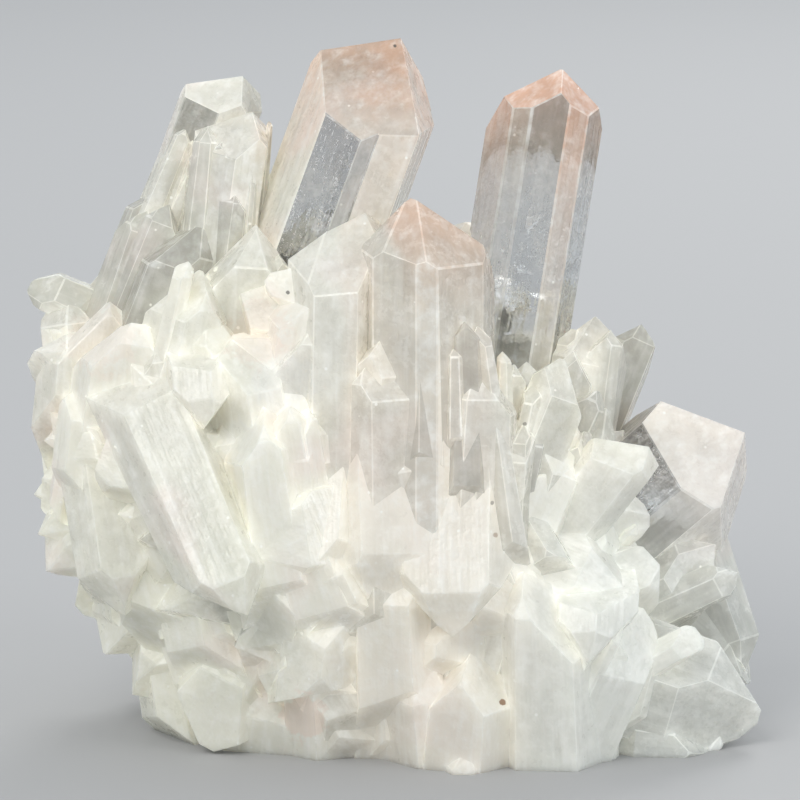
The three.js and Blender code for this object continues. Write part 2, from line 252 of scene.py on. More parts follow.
@dataclass
class Crystal:
    """A crystal point: its planes, where its tip is and which way it points.

    A side face has its turn and how far it lies from the tip's axis. An end face has its turn,
    how far below the tip it crosses the axis, and its slope where that is not the usual one.
    """

    tip: Vec
    heading: Heading
    long: float
    sides: Sequence[Sequence[float]]
    ends: Sequence[Sequence[float]]
    taper: float = 0.0
    chamfer: float = 0.05
    clear: float = 0.0
    foot_slope: float = 0.0
    name: str = ""
    clear_faces: dict[int, float] = field(default_factory=dict)
    blush_faces: dict[int, float] = field(default_factory=dict)
    normals: Vec = field(init=False)
    reaches: Vec = field(init=False)

    def __post_init__(self) -> None:
        """Works out the planes from the faces' turns and distances."""
        normals, reaches = [], []
        for turn, reach in self.sides:
            out = self.heading.facing(turn)
            normal = out * cos(self.taper) + self.heading.along * sin(self.taper)
            normals.append(normal)
            reaches.append(normal @ self.tip + reach)
        for turn, drop, *rest in self.ends:
            slope = rest[0] if rest else END_FACE_ANGLE
            normal = self.heading.facing(turn) * sin(slope) + self.heading.along * cos(slope)
            normals.append(normal)
            reaches.append(normal @ (self.tip - self.heading.along * drop))
        near, along = self.heading.near, self.heading.along
        under = near * sin(self.foot_slope) - along * cos(self.foot_slope)
        normals.append(under)
        reaches.append(under @ (self.tip - self.heading.along * self.long))
        self.normals, self.reaches = np.array(normals), np.array(reaches)

    def moved(self, offset: Vec) -> "Crystal":
        """Moves the crystal.

        Args:
            offset: How far it moves.

        Returns:
            The crystal itself.
        """
        self.tip = self.tip + offset
        self.reaches = self.reaches + self.normals @ offset
        return self

    def solid(self) -> Solid:
        """Builds the crystal with a narrow flat along each edge.

        Where two faces share an edge, a plane halfway between their directions cuts the edge
        off at a small depth.

        Returns:
            The solid, without the narrow flats where they would leave it open.
        """
        plain = inside(self.normals, self.reaches)
        on_face = np.abs(plain.corners @ self.normals.T - self.reaches) < 3 * TOUCH
        normals, reaches = list(self.normals), list(self.reaches)
        for p, q in combinations(range(len(self.normals) - 1), 2):
            shared = np.flatnonzero(on_face[:, p] & on_face[:, q])
            if len(shared) < 2:
                continue
            normal = unit(self.normals[p] + self.normals[q])
            depth = self.chamfer * (0.5 + chance(p, q, self.long))
            normals.append(normal)
            reaches.append(normal @ plain.corners[shared[0]] - depth)
        worn = inside(np.array(normals), np.array(reaches))
        return worn if worn.is_closed() else plain


def ordinary(
    tip: Vec, heading: Heading, long: float, wide: float, thick: float, roll: float, **more: float
) -> Crystal:
    """Makes an uneven six-sided point whose highest corner is at its tip.

    The prism faces go round an oval, each at 0.82 to 1.18 of its distance, and the end faces
    slope alike but start at different heights.

    Args:
        tip: Where the highest corner is.
        heading: The crystal's directions.
        long: Length from tip to foot.
        wide: Width from side to side.
        thick: Width from front to back.
        roll: Turn of the first face, in degrees.
        **more: Further values of the crystal.

    Returns:
        The crystal.
    """
    sides, ends = [], []
    for k in range(6):
        turn = roll + 60 * k
        reach = np.hypot(wide / 2 * cos(turn), thick / 2 * sin(turn))
        sides.append([turn, reach * (0.82 + 0.36 * chance(k, roll, wide))])
        ends.append([turn, wide * (0.02 + 0.5 * chance(k, wide, roll, thick) ** 1.6)])
    ends[int(6 * chance(wide, thick, roll))][1] = 0
    made = Crystal(
        tip=tip, heading=heading, long=long, sides=sides, ends=ends,
        taper=PRISM_TAPER, foot_slope=FOOT_SLOPE, **more,
    )
    corners = inside(made.normals, made.reaches).corners
    return made.moved(tip - corners[np.argmax(corners @ heading.along)])


def placed(at: Sequence[float], lean: float = 0, pitch: float = 0, **values: object) -> Crystal:
    """Makes a crystal whose tip shows at a place in the front view.

    Args:
        at: Across, up and depth of the tip.
        lean: Degrees clockwise from upright in the front view.
        pitch: Degrees that the tip comes towards the viewer.
        **values: The crystal's other values.

    Returns:
        The crystal.
    """
    return Crystal(tip=seen(*at), heading=Heading.leaning(lean, pitch), **values)


@dataclass
class TallPoints:
    """The long points that stand clear of the rest, and the broad ones that lean to the right."""

    broad_ends: tuple[tuple[float, float], ...] = ((105, 0), (13, 0), (234, 0))

    def crystals(self) -> list[Crystal]:
        """Lists the large points, each with how clear it is.

        Returns:
            The crystals.
        """
        return [
            placed(
                [1.1, 109.5, 6], lean=20, long=80, clear=0.75, name="broad_left",
                clear_faces={
                    0: 0.2, 1: 1.0, 2: 0.8, 4: 0.9, 5: 0.9, 6: 0.8, 7: 0.5, 8: 0.3, 9: 0.5
                },
                sides=[(154, 10.4), (118.7, 12.2), (62, 12.2), (5, 7.5), (310, 9), (262, 9.5),
                       (208, 9.9)],
                ends=self.broad_ends,
            ),
            placed(
                [1.1, 109.5, 6], lean=20, long=80, clear=0.75, name="broad_right",
                clear_faces={0: 0.95, 1: 0.35, 2: 0.4, 3: 0.9, 5: 0.5, 6: 0.3, 7: 0.5},
                sides=[(150, 4.7), (90, 13), (5, 8.8), (310, 8.4), (230, 3)],
                ends=self.broad_ends,
            ),
            placed(
                [25.6, 105.3, 6], lean=9, long=85, clear=1.0, name="tall",
                clear_faces={0: 0.8, 1: 0.9, 3: 0.7, 8: 0.55, 9: 0.6, 10: 0.6, 11: 0.7},
                blush_faces={0: 0.6, 3: 0.9, 4: 0.2, 8: 0.9, 9: 0.7},
                sides=[(150, 6.5), (120, 4.7), (92, 3.4), (62, 3.9), (25, 5.1), (335, 8),
                       (270, 11.5), (210, 11)],
                ends=[(126, 0.9), (47, 1), (240, -0.6), (300, 0)],
            ),
            placed(
                [2.0, 85.2, -19], pitch=4, long=60, clear=0.4, name="front", foot_slope=FOOT_SLOPE,
                sides=[(155, 6.3), (115, 6), (88, 7.3), (55, 8.4), (15, 11.4), (325, 13),
                       (270, 10), (210, 7)],
                ends=[(100, 0.3), (58, -1), (302, -1), (10, -23.7, 70), (143, 0), (217, 0)],
            ),
            placed(
                [-5.3, 83.9, -17], lean=1, pitch=4, long=58, clear=0.25, name="front_left",
                foot_slope=FOOT_SLOPE,
                sides=[(150, 8.8), (95, 7.5), (30, 4), (330, 5), (270, 8), (210, 8.8)],
                ends=[(100, 2.5), (126, 0), (234, 0), (20, 0)],
            ),
            placed(
                [-23.0, 103.8, 10], lean=20, long=52, clear=0.35, name="left",
                clear_faces={1: 0.75, 3: 0.85, 7: 0.2},
                sides=[(160, 7), (115, 5), (70, 4.5), (20, 4), (325, 5), (270, 6), (215, 6.5)],
                ends=[(110, 0), (30, -0.5), (240, 0)],
            ),
            placed(
                [-20.9, 98.6, 3], lean=8, long=45, clear=0.35, name="left_low",
                clear_faces={1: 0.3, 2: 0.7},
                sides=[(0, 2.8), (60, 4.5), (120, 6), (165, 8), (225, 6), (300, 5)],
                ends=[(113, 0), (247, 0), (20, 0.5)],
            ),
            placed(
                [51.5, 50.8, 0], lean=49.5, pitch=6, long=50, clear=0.45, name="right",
                clear_faces={0: 0.7, 1: 0.9, 2: 0.5, 3: 0.35, 7: 0.2, 8: 0.3},
                sides=[(170, 11), (106.5, 8.7), (86, 9.4), (35, 10.4), (320, 10.6), (270, 8),
                       (225, 9)],
                ends=[(100, 0), (12, -2), (232, 0)],
            ),
            placed(
                [38.4, 48.2, -20.5], lean=38, pitch=13, long=45, clear=0.2, name="right_blade",
                sides=[(150, 6.5), (95, 3.5), (40, 2.8), (0, 3), (270, 5), (210, 6.5)],
                ends=[(110, 0), (20, 0), (240, 0)],
            ),
        ]


@dataclass
class FrontPoints:
    """Ordinary points of the front: across, up and depth of the tip, lean, pitch, width,
    thickness, length and roll, and how clear each is.

    Those that come towards the viewer, by a pitch of `steep` or more, are lengthened into the
    mass up to a limit, which is higher for those that stand nearly upright.
    """

    steep: float = 8
    upright: float = 7
    deeper: float = 1.4
    longest: float = 36
    longest_upright: float = 54
    rows: tuple[tuple[float, ...], ...] = (
        # Blades of the upper left, all leaning right.
        (-39.4, 81.3, 4, 16, 0, 6, 5, 18, 10, 0.5),
        (-35.0, 87.0, 7, 20, 0, 7, 6, 30, 35, 0.6),
        (-36.8, 83.6, 0, 18, 4, 6, 5, 24, 20, 0.5),
        (-43.4, 74.9, 3, 2, 0, 7, 7, 18, 0, 0.5),
        (-33.5, 84.5, -1, 22, 6, 7, 6, 34, 15, 0.6),
        (-28.5, 82.0, -4, 20, 5, 9, 8, 34, 40, 0.6),
        (-49.0, 71.2, 0, -8, 0, 9, 9, 16, 10, 0.3),
        (-42.5, 70.0, -8, 4, 7, 13, 10, 24, 25, 0.2),
        # Broad milky points above the middle.
        (-20.8, 81.5, -9, 3, 6, 15, 12, 48, 35, 0.25),
        (-28.5, 74.5, -15, 12, 12, 12, 10, 34, 10, 0.2),
        (-37.0, 66.5, -17, 8, 20, 14, 11, 28, 30, 0.1),
        (-17.3, 77.0, -12, -2, 8, 8, 7, 34, 5, 0.3),
        # Small clear point at the far left, and the worn flank below it.
        (-55.0, 71.6, 2, -66, 0, 6, 5, 14, 10, 0.45),
        (-53.9, 62.6, -8, -75, 10, 11, 10, 20, 35, 0.2),
        (-52.4, 49.0, -10, -95, 10, 12, 11, 20, 25, 0.1),
        (-54.0, 41.0, -5, -100, 5, 13, 12, 20, 50, 0.1),
        (-53.3, 35.0, -8, -115, 8, 12, 11, 20, 15, 0.1),
        (-52.2, 29.5, -8, -125, 5, 13, 11, 20, 40, 0.1),
        (-47.8, 24.4, -5, -132, 5, 14, 11, 20, 0, 0.1),
        (-43.2, 17.0, -10, -135, 10, 13, 11, 20, 30, 0.2),
        (-39.2, 11.0, -12, -138, 10, 13, 11, 20, 10, 0.2),
        (-32.6, 6.2, -12, -140, 12, 13, 12, 20, 45, 0.1),
        (-27.0, 2.4, -22, -150, 16, 14, 12, 22, 20, 0.1),
        (-42.5, 50.7, -21, -70, 20, 14, 10, 24, 35, 0.1),
        (-48.5, 44.7, -16, -100, 16, 13, 11, 24, 15, 0.1),
        (-39.5, 61.0, -18, -40, 18, 14, 10, 26, 50, 0.1),
        # Broad points that hang down on the left.
        (-40.3, 22.8, -21, 172, 12, 14, 11, 28, 40, 0.2),
        (-21.7, 22.8, -36, 156, 18, 13, 11, 46, 35, 0.2),
        (-28.3, 51.0, -27, 176, 20, 9, 7, 11, 15, 0.2),
        (-12.0, 27.0, -32, 184, 14, 11, 9, 34, 10, 0.1),
        (-19.5, 55.0, -26, -8, 10, 10, 9, 30, 35, 0.1),
        (-3.5, 24.5, -32, 178, 10, 12, 9, 34, 40, 0.1),
        # Upright ribs of the middle.
        (-14.0, 57.0, -25, -6, 16, 10, 9, 22, 40, 0.1),
        (0.5, 60.5, -26, -1, 10, 8, 6, 32, 10, 0.3),
        (8.0, 65.7, -25, 1, 13, 9, 7, 38, 30, 0.25),
        (13.4, 60.7, -24, 3, 10, 8, 7, 28, 15, 0.3),
        # Blades that fan out right of the middle.
        (20.0, 61.0, -13, 10, 5, 7, 6, 30, 10, 0.5),
        (24.5, 57.0, -16, 18, 8, 7, 6, 30, 35, 0.5),
        (17.8, 53.0, -23, 6, 10, 7, 7, 28, 20, 0.3),
        (22.5, 50.0, -22, 16, 12, 7, 6, 26, 50, 0.3),
        (27.2, 62.7, -8, 12, 4, 8, 7, 35, 5, 0.5),
        (28.5, 50.5, -17, 26, 10, 8, 7, 26, 25, 0.3),
        (30.4, 67.8, 0, 12, 0, 10, 9, 40, 25, 0.5),
        (37.3, 66.6, 6, 24, 0, 7, 7, 40, 10, 0.6),
        (32.0, 54.0, -9, 25, 8, 9, 8, 30, 40, 0.4),
        (34.5, 50.7, -3, 35, 5, 8, 8, 30, 15, 0.5),
        # Lower right.
        (48.4, 33.5, -8, 60, 10, 13, 11, 30, 20, 0.4),
        (40.0, 30.5, -19, 42, 20, 12, 9, 26, 45, 0.2),
        (52.6, 14.6, -4, 160, 5, 9, 8, 24, 20, 0.45),
        (53.2, 12.5, -4, 130, 5, 10, 10, 30, 40, 0.35),
        (54.6, 6.6, -17, 108, 8, 15, 14, 34, 10, 0.3),
        (50.0, 2.0, -17, 96, 6, 13, 11, 26, 30, 0.3),
        (45.5, 20.2, -19, 58, 22, 13, 11, 26, 30, 0.2),
        (37.5, 24.0, -23, 24, 18, 13, 11, 26, 0, 0.15),
        (39.0, 10.0, -19, 24, 34, 15, 11, 24, 15, 0.15),
        # Broad points that hang down in front, and the upright ones between them.
        (8.9, 19.5, -34, 180, 14, 15, 10, 27, 25, 0.1),
        (28.0, 13.6, -30, 183, 24, 12, 9, 13, 10, 0.15),
        (19.5, 29.5, -30, -2, 21, 16, 11, 36, 35, 0.15),
        (33.0, 20.5, -27, 8, 22, 14, 11, 28, 5, 0.15),
        (4.0, 18.5, -29, -6, 27, 14, 11, 28, 20, 0.1),
        (12.0, 18.7, -30, 4, 24, 13, 11, 30, 45, 0.1),
        (-8.0, 23.7, -28, -4, 34, 13, 9, 34, 10, 0.1),
        (-1.0, 12.5, -24, 4, 30, 10, 8, 22, 30, 0.1),
        # Lower left, below the hanging points.
        (-22.5, 9.0, -23, 192, 18, 14, 11, 26, 20, 0.1),
        (-14.0, 14.5, -22, 8, 34, 12, 9, 22, 40, 0.1),
        (-31.5, 12.5, -19, 206, 15, 13, 10, 24, 5, 0.1),
        (-35.0, 19.2, -19, 212, 18, 12, 10, 24, 25, 0.1),
        (-15.5, 17.7, -29, 174, 13, 13, 10, 28, 50, 0.1),
    )

    def crystals(self) -> list[Crystal]:
        """Lists the ordinary points of the front.

        Returns:
            The crystals.
        """
        made = []
        for across, up, depth, lean, pitch, wide, thick, long, roll, clear in self.rows:
            if pitch >= self.steep:
                most = self.longest_upright if abs(lean) < self.upright else self.longest
                long = max(long, min(long * self.deeper, most))
            made.append(
                ordinary(
                    tip=seen(across, up, depth),
                    heading=Heading.leaning(lean, pitch),
                    long=long, wide=wide, thick=thick, roll=roll, clear=clear,
                )
            )
        return made


@dataclass
class FanBlades:
    """Narrow blades that stand side by side in front of and to the right of the middle.

    Across, up and depth of the tip, lean, pitch, width, thickness, length, roll, and how clear.
    """

    rows: tuple[tuple[float, ...], ...] = (
        (4.7, 62.3, -27.4, 0, 3, 2.4, 2.4, 17, 10, 0.5),
        (6.6, 58.0, -27.6, 1, 3, 1.6, 2, 14, 30, 0.2),
        (9.0, 62.9, -27.2, -1, 3, 2.0, 2.2, 15, 40, 0.4),
        (10.8, 66.9, -26.0, 0, 3, 4.2, 3, 28, 30, 0.55),
        (12.6, 66.3, -24.8, -8, 5, 3.2, 3, 36, 0, 0.4),
        (14.8, 58.5, -25.0, -3, 6, 2.2, 2.4, 28, 15, 0.4),
        (16.3, 62.5, -22.8, 0, 5, 1.7, 2, 26, 35, 0.2),
        (18.2, 60.6, -20.4, 8, 5, 5.5, 4, 34, 0, 0.4),
        (21.2, 57.5, -21.4, 12, 5, 3.0, 3, 30, 50, 0.35),
        (25.8, 61.2, -18.4, 22, 5, 8.0, 4, 34, 0, 0.3),
        (24.2, 54.0, -20.0, 24, 5, 1.4, 2, 18, 10, 0.2),
        (26.0, 53.0, -19.6, 26, 5, 1.4, 2, 18, 40, 0.2),
        (27.6, 51.5, -19.0, 27, 5, 2.6, 2.4, 18, 30, 0.2),
        (31.0, 56.5, -12.4, 26, 5, 5.6, 4, 26, 30, 0.5),
        (19.4, 51.5, -24.4, 4, 5, 3.4, 3, 20, 30, 0.4),
        (22.2, 49.5, -23.2, 13, 5, 3.2, 3, 18, 10, 0.5),
        (12.8, 52.5, -27.4, -2, 5, 3.0, 3, 24, 20, 0.3),
        (16.0, 49.0, -26.8, 2, 6, 3.4, 3, 22, 45, 0.3),
    )

    def crystals(self) -> list[Crystal]:
        """Lists the blades.

        Returns:
            The crystals.
        """
        return [
            ordinary(
                tip=seen(*row[:3]),
                heading=Heading.leaning(row[3], row[4]),
                wide=row[5], thick=row[6], long=row[7], roll=row[8], clear=row[9],
            )
            for row in self.rows
        ]


@dataclass
class Mass:
    """The mass that the crystals grow from, and the stubby crystals that cover it.

    A reach pairs a height with the half width there, and a ring has its height and its number of
    crystals. No stubby crystal has its tip in the front's room, given by its left, right and
    back limits, or in the fan's room, given by its left, right, back and lowest limits.
    """

    left_reach: Curve = ((0, 31), (8, 37), (22, 46), (36, 52), (58, 50), (70, 42), (82, 32))
    right_reach: Curve = ((0, 50), (14, 50), (30, 44), (45, 38), (60, 29), (82, 20))
    deep_reach: Curve = ((0, 20), (8, 27), (20, 34), (38, 33), (58, 26), (72, 17), (82, 12))
    core_levels: tuple[float, ...] = (-4, 10, 24, 38, 52, 64, 72)
    core_sides: int = 15
    core_right: Curve = ((38, 1), (58, 0.4))
    fan_height: float = 36
    rings: tuple[tuple[float, int], ...] = ((7, 14), (21, 15), (35, 14), (49, 13), (62, 10), (70, 6))
    stub_length: float = 24
    front_room: tuple[float, float, float] = (-18, 20, -8)
    fan_room: tuple[float, float, float, float] = (-18, 46, 5, 40)

    def leaves_fan_free(self, crystal: Crystal) -> bool:
        """Tells whether a stubby crystal stays out of the room where the blades fan out.

        Args:
            crystal: The crystal.

        Returns:
            Whether it stays out.
        """
        left, right, back, low = self.fan_room
        across, depth, height = crystal.tip
        return not (left < across < right and depth < back and height > low)

    def surface(self, turn: float, height: float, share: float) -> Vec:
        """Finds a point of the mass's surface.

        The mass is an oval at each height, whose two half widths come from the outline.

        Args:
            turn: Degrees round from the right through the back.
            height: Height above the floor.
            share: Part of the way out from the middle.

        Returns:
            The point.
        """
        side, deep = cos(turn), sin(turn)
        reaches = self.right_reach if side > 0 else self.left_reach
        wide = np.interp(height, *zip(*reaches))
        thick = np.interp(height, *zip(*self.deep_reach))
        reach = share / np.hypot(side / wide, deep / thick)
        return np.array([side * reach, deep * reach, height])

    def core(self) -> Solid:
        """Builds the mass inside as rings of uneven corners, joined by triangles.

        Returns:
            The solid.
        """
        levels, count = self.core_levels, self.core_sides
        corners = []
        for row, level in enumerate(levels):
            for k in range(count):
                turn = 360 * (k + 0.5 * (row % 2) + 0.3 * chance(k, row)) / count
                share = 0.3 if row == len(levels) - 1 else 0.76 + 0.1 * chance(row, k)
                if cos(turn) > 0:
                    share *= float(np.interp(level, *zip(*self.core_right)))
                corners.append(self.surface(turn, level, share))
        faces = []
        for row in range(len(levels) - 1):
            for k in range(count):
                low, low_next = row * count + k, row * count + (k + 1) % count
                faces += [[low, low_next, low + count], [low_next, low_next + count, low + count]]
        last = (len(levels) - 1) * count
        faces.append(list(range(count))[::-1])
        faces.append([last + k for k in range(count)])
        return Solid(np.array(corners), faces)

    def crowd(self) -> list[Crystal]:
        """Lists the stubby crystals of the surface.

        Seen from the front they fan out from a place in the middle. Each leans out by 24 to 50
        degrees, and by 14 more at the back, and is 13 to 19 wide.

        Returns:
            The crystals.
        """
        made = []
        first, last, back = self.front_room
        for ring, (height, count) in enumerate(self.rings):
            for k in range(count):
                turn = 360 * (k + 0.5 * (ring % 2) + 0.4 * chance(k, ring, 3)) / count
                level = height + 8 * (chance(k, ring, 5) - 0.5)
                tip = self.surface(turn, level, 0.99 + 0.08 * chance(k, ring, 7))
                if tip[1] < back and first < tip[0] < last:
                    continue
                fan = unit(np.array([tip[0], 0, tip[2] - self.fan_height]))
                out = unit(np.array([tip[0] * 0.5, tip[1], 0]))
                share = 24 + 26 * chance(k, ring, 9) + (14 if tip[1] > 0 else 0)
                along = unit(fan * cos(share) + out * sin(share))
                right = unit(np.cross(out, along))
                size = 13 + 6 * chance(k, ring, 11)
                made.append(
                    ordinary(
                        tip=tip,
                        heading=Heading(along, right, -np.cross(along, right)),
                        long=self.stub_length, wide=size, thick=size * 0.8,
                        roll=60 * chance(k, ring, 13), clear=0.5 * chance(k, ring, 17) ** 2,
                    )
                )
        return made


@dataclass(frozen=True)
class SideGrowth:
    """Narrower crystals grown along the sides of the larger ones, nearly parallel to them.

    Their width lies between `least` and `most` of how far the face that they grow on lies from
    their parent's axis.
    """

    each: int = 3
    least: float = 0.35
    most: float = 0.95
    clearness: float = 0.7
    worn: float = 0.04
    broad_reach: float = 5
    least_rise: float = 0.1

    def suits(self, parent: Crystal) -> bool:
        """Tells whether a crystal is broad and upright enough to carry others."""
        broadest = max(reach for _, reach in parent.sides)
        return broadest > self.broad_reach and parent.heading.along[2] > self.least_rise

    def crystals(self, parents: Iterable[Crystal]) -> list[Crystal]:
        """Grows crystals along the side faces of larger ones.

        Each stands out of a side face by 0.05 to 0.22 of its width, ends part of the way down
        from its parent's tip, and leans away from its parent's direction by a few degrees.

        Args:
            parents: The crystals that the narrow ones grow on.

        Returns:
            The narrow crystals.
        """
        made = []
        for number, parent in enumerate(parents):
            for k in range(self.each):
                side = int(len(parent.sides) * chance(number, k, 1))
                turn, reach = parent.sides[side][:2]
                out = parent.heading.facing(turn)
                beside = np.cross(out, parent.heading.along)
                size = reach * (self.least + (self.most - self.least) * chance(number, k, 5))
                step = size * (0.05 + 0.17 * chance(number, k, 6))
                down = reach * (0.3 + 2.6 * chance(number, k, 2))
                lean_out = sin(6 * (chance(number, k, 4) - 0.4))
                lean_side = 0.16 * (chance(number, k, 7) - 0.5)
                along = unit(parent.heading.along + out * lean_out + beside * lean_side)
                near = unit(out - along * (out @ along))
                sideways = beside * reach * (chance(number, k, 3) - 0.5)
                made.append(
                    ordinary(
                        tip=parent.tip - parent.heading.along * down
                        + out * (reach - size / 2 + step) + sideways,
                        heading=Heading(along, np.cross(along, near), near),
                        long=max(parent.long - down - 1, 3 * size),
                        wide=size,
                        thick=size * (0.7 + 0.3 * chance(number, k, 9)),
                        roll=60 * chance(number, k, 8),
                        clear=parent.clear * self.clearness * (0.5 + chance(number, k, 10)),
                        chamfer=self.worn,
                    )
                )
        return made


@dataclass
class Cover:
    """Low crystals that lie side by side on the mass and fill it between the others.

    They sink into the mass, deeper by `dip` on the right of the front. A tip stands above its
    place by the share `rise` of the crystal's length, and stays below `highest`, which pairs a
    place across with a height.
    """

    levels: tuple[float, ...] = (5, 13, 21, 29, 37, 45, 53, 61, 69)
    columns: int = 30
    share: float = 0.92
    dip: float = 0.08
    dip_from: float = 12
    rise: float = 0.4
    worn: float = 0.04
    left_lean: Curve = ((0, -35), (40, -25), (55, 0), (70, 15))
    left_fade: float = 14
    fan_from: float = 4
    fan_rate: float = 1.3
    steepest: float = 60
    highest: Curve = (
        (-50, 58), (-38, 68), (-15, 72), (0, 68), (12, 60), (20, 56), (30, 50), (38, 42), (52, 26)
    )

    def lean(self, place: Vec) -> float:
        """Gives the lean of the crystals at a place.

        Right of the middle they fan out to the right. On the left they lean one way at the top
        and the other way below.

        Args:
            place: A point of the surface.

        Returns:
            Degrees clockwise from upright in the front view.
        """
        if place[0] > self.fan_from:
            return float(min(self.fan_rate * (place[0] - self.fan_from), self.steepest))
        share = min((self.fan_from - place[0]) / self.left_fade, 1)
        return share * float(np.interp(place[2], *zip(*self.left_lean)))

    def crystals(self, mass: Mass) -> list[Crystal]:
        """Lays the crystals round the mass, row above row.

        Each lies along the surface, within 8 degrees, and is 8 to 15 wide and 18 to 32 long.

        Args:
            mass: The mass that they lie on.

        Returns:
            The crystals.
        """
        made = []
        for row, level in enumerate(self.levels):
            for column in range(self.columns):
                turn = 360 * column / self.columns + 8 * (chance(row, column, 31) - 0.5)
                height = level + 6 * (chance(row, column, 33) - 0.5)
                place = mass.surface(turn, height, 1)
                sinks = place[0] > self.dip_from and place[1] < 0
                share = self.share - (self.dip if sinks else 0)
                place = mass.surface(turn, height, share + 0.05 * chance(row, column, 35))
                ahead = mass.surface(turn + 3, height, 1) - mass.surface(turn - 3, height, 1)
                out = unit(np.cross(ahead, [0.0, 0.0, 1.0]))
                lean = self.lean(place) + 16 * (chance(row, column, 37) - 0.5)
                upright = np.array([sin(lean), 0.0, cos(lean)])
                flat = unit(upright - out * (upright @ out))
                along = unit(flat + out * sin(8 * chance(row, column, 39)))
                near = unit(out - along * (out @ along))
                size = 8 + 7 * chance(row, column, 41)
                thick = size * 0.7
                long = 18 + 14 * chance(row, column, 43)
                above = along * long * self.rise
                if (place + above)[2] > np.interp(place[0], *zip(*self.highest)):
                    continue
                made.append(
                    ordinary(
                        tip=place - out * thick / 2 + above,
                        heading=Heading(along, np.cross(along, near), near),
                        long=long, wide=size, thick=thick, roll=60 * chance(row, column, 45),
                        clear=0.3 * chance(row, column, 47), chamfer=self.worn,
                    )
                )
        return made


class Wire:
    """A socket of a material, with arithmetic that adds Math nodes."""

    def __init__(self, shading: "Shading", socket: bpy.types.NodeSocket) -> None:
        """Keeps the material and the socket."""
        self.shading = shading
        self.socket = socket

    def _math(self, operation: str, *values: object, clamp: bool = False) -> "Wire":
        """Adds one Math node."""
        node = self.shading.node(
            "ShaderNodeMath", {"operation": operation, "use_clamp": clamp}, dict(enumerate(values))
        )
        return Wire(self.shading, node.outputs[0])

    def __add__(self, other: object) -> "Wire":
        """Adds."""
        return self._math("ADD", self, other)

    __radd__ = __add__

    def __sub__(self, other: object) -> "Wire":
        """Takes away."""
        return self._math("SUBTRACT", self, other)

    def __rsub__(self, other: object) -> "Wire":
        """Takes this away from a number."""
        return self._math("SUBTRACT", other, self)

    def __mul__(self, other: object) -> "Wire":
        """Multiplies."""
        return self._math("MULTIPLY", self, other)

    __rmul__ = __mul__

    def clipped(self) -> "Wire":
        """Holds the value between 0 and 1."""
        return self._math("ADD", self, 0.0, clamp=True)

    def rise(self, low: float, high: float) -> "Wire":
        """Goes smoothly from 0 to 1.

        Args:
            low: Where it is 0.
            high: Where it is 1, which may be below low.

        Returns:
            The value.
        """
        flip = low > high
        node = self.shading.node(
            "ShaderNodeMapRange",
            {"interpolation_type": "SMOOTHSTEP"},
            {"Value": self, "From Min": min(low, high), "From Max": max(low, high)},
        )
        made = Wire(self.shading, node.outputs["Result"])
        return 1 - made if flip else made


class Shading:
    """A material's node tree and the few kinds of node that the finishes use."""

    def __init__(self, name: str) -> None:
        """Makes an empty material.

        Args:
            name: Name of the material.
        """
        self.material = bpy.data.materials.new(name)
        self.material.use_nodes = True
        self.tree = self.material.node_tree
        self.tree.nodes.clear()

    def node(self, kind: str, settings: dict, inputs: dict) -> bpy.types.Node:
        """Adds a node.

        Args:
            kind: Name of the type of node.
            settings: Properties that are set first.
            inputs: Value or link for each input, by name or number.

        Returns:
            The node.
        """
        node = self.tree.nodes.new(kind)
        for name, value in settings.items():
            setattr(node, name, value)
        for name, value in inputs.items():
            if isinstance(value, Wire):
                self.tree.links.new(value.socket, node.inputs[name])
            else:
                node.inputs[name].default_value = value
        return node

    def wire(self, kind: str, settings: dict, inputs: dict, output: str | int = 0) -> Wire:
        """Adds a node and gives one of its outputs."""
        return Wire(self, self.node(kind, settings, inputs).outputs[output])

    def place(self) -> Wire:
        """Gives the place on the object, in millimetres."""
        coordinates = self.wire("ShaderNodeTexCoord", {}, {}, "Object")
        return self.vector("SCALE", coordinates, Scale=1 / MM)

    def vector(
        self, operation: str, *values: object, output: str | int = 0, **inputs: object
    ) -> Wire:
        """Adds a Vector Math node."""
        sockets = {**dict(enumerate(values)), **inputs}
        return self.wire("ShaderNodeVectorMath", {"operation": operation}, sockets, output)

    def dot(self, place: Wire, direction: Sequence[float] | Wire) -> Wire:
        """Gives how far a place lies along a direction."""
        fixed = direction if isinstance(direction, Wire) else tuple(direction)
        return self.vector("DOT_PRODUCT", place, fixed, output="Value")

    def noise(self, place: Wire, size: float, detail: float, rough: float = 0.55) -> Wire:
        """Adds soft noise whose lumps are about size across."""
        inputs = {"Vector": place, "Scale": 1 / size, "Detail": detail, "Roughness": rough}
        return self.wire("ShaderNodeTexNoise", {}, inputs)

    def voronoi(self, place: Wire, size: float) -> Wire:
        """Gives the distance to the nearest of scattered points, in cells size across."""
        return self.wire("ShaderNodeTexVoronoi", {}, {"Vector": place, "Scale": 1 / size}, "Distance")

    def mix(self, share: Wire | float, first: object, second: object) -> Wire:
        """Mixes two colours."""
        inputs = {0: share, 6: first, 7: second}
        return self.wire("ShaderNodeMix", {"data_type": "RGBA"}, inputs, 2)

    def principled(self, inputs: dict, **settings: object) -> Wire:
        """Adds the shader that every finish is made of."""
        return self.wire("ShaderNodeBsdfPrincipled", settings, inputs, "BSDF")

    def output(self, surface: Wire) -> None:
        """Connects the finished surface."""
        self.node("ShaderNodeOutputMaterial", {}, {"Surface": surface})


@dataclass(frozen=True)
class Mark:
    """A small mark on the front: the place of its middle, its radius, strength and colour."""

    across: float
    up: float
    depth: float
    radius: float
    strength: float
    colour: Colour


BROWN = (0.24, 0.11, 0.04, 1)
DARK = (0.10, 0.09, 0.08, 1)
CRUST = (0.90, 0.90, 0.865, 1)
WARM = (0.84, 0.70, 0.60, 1)


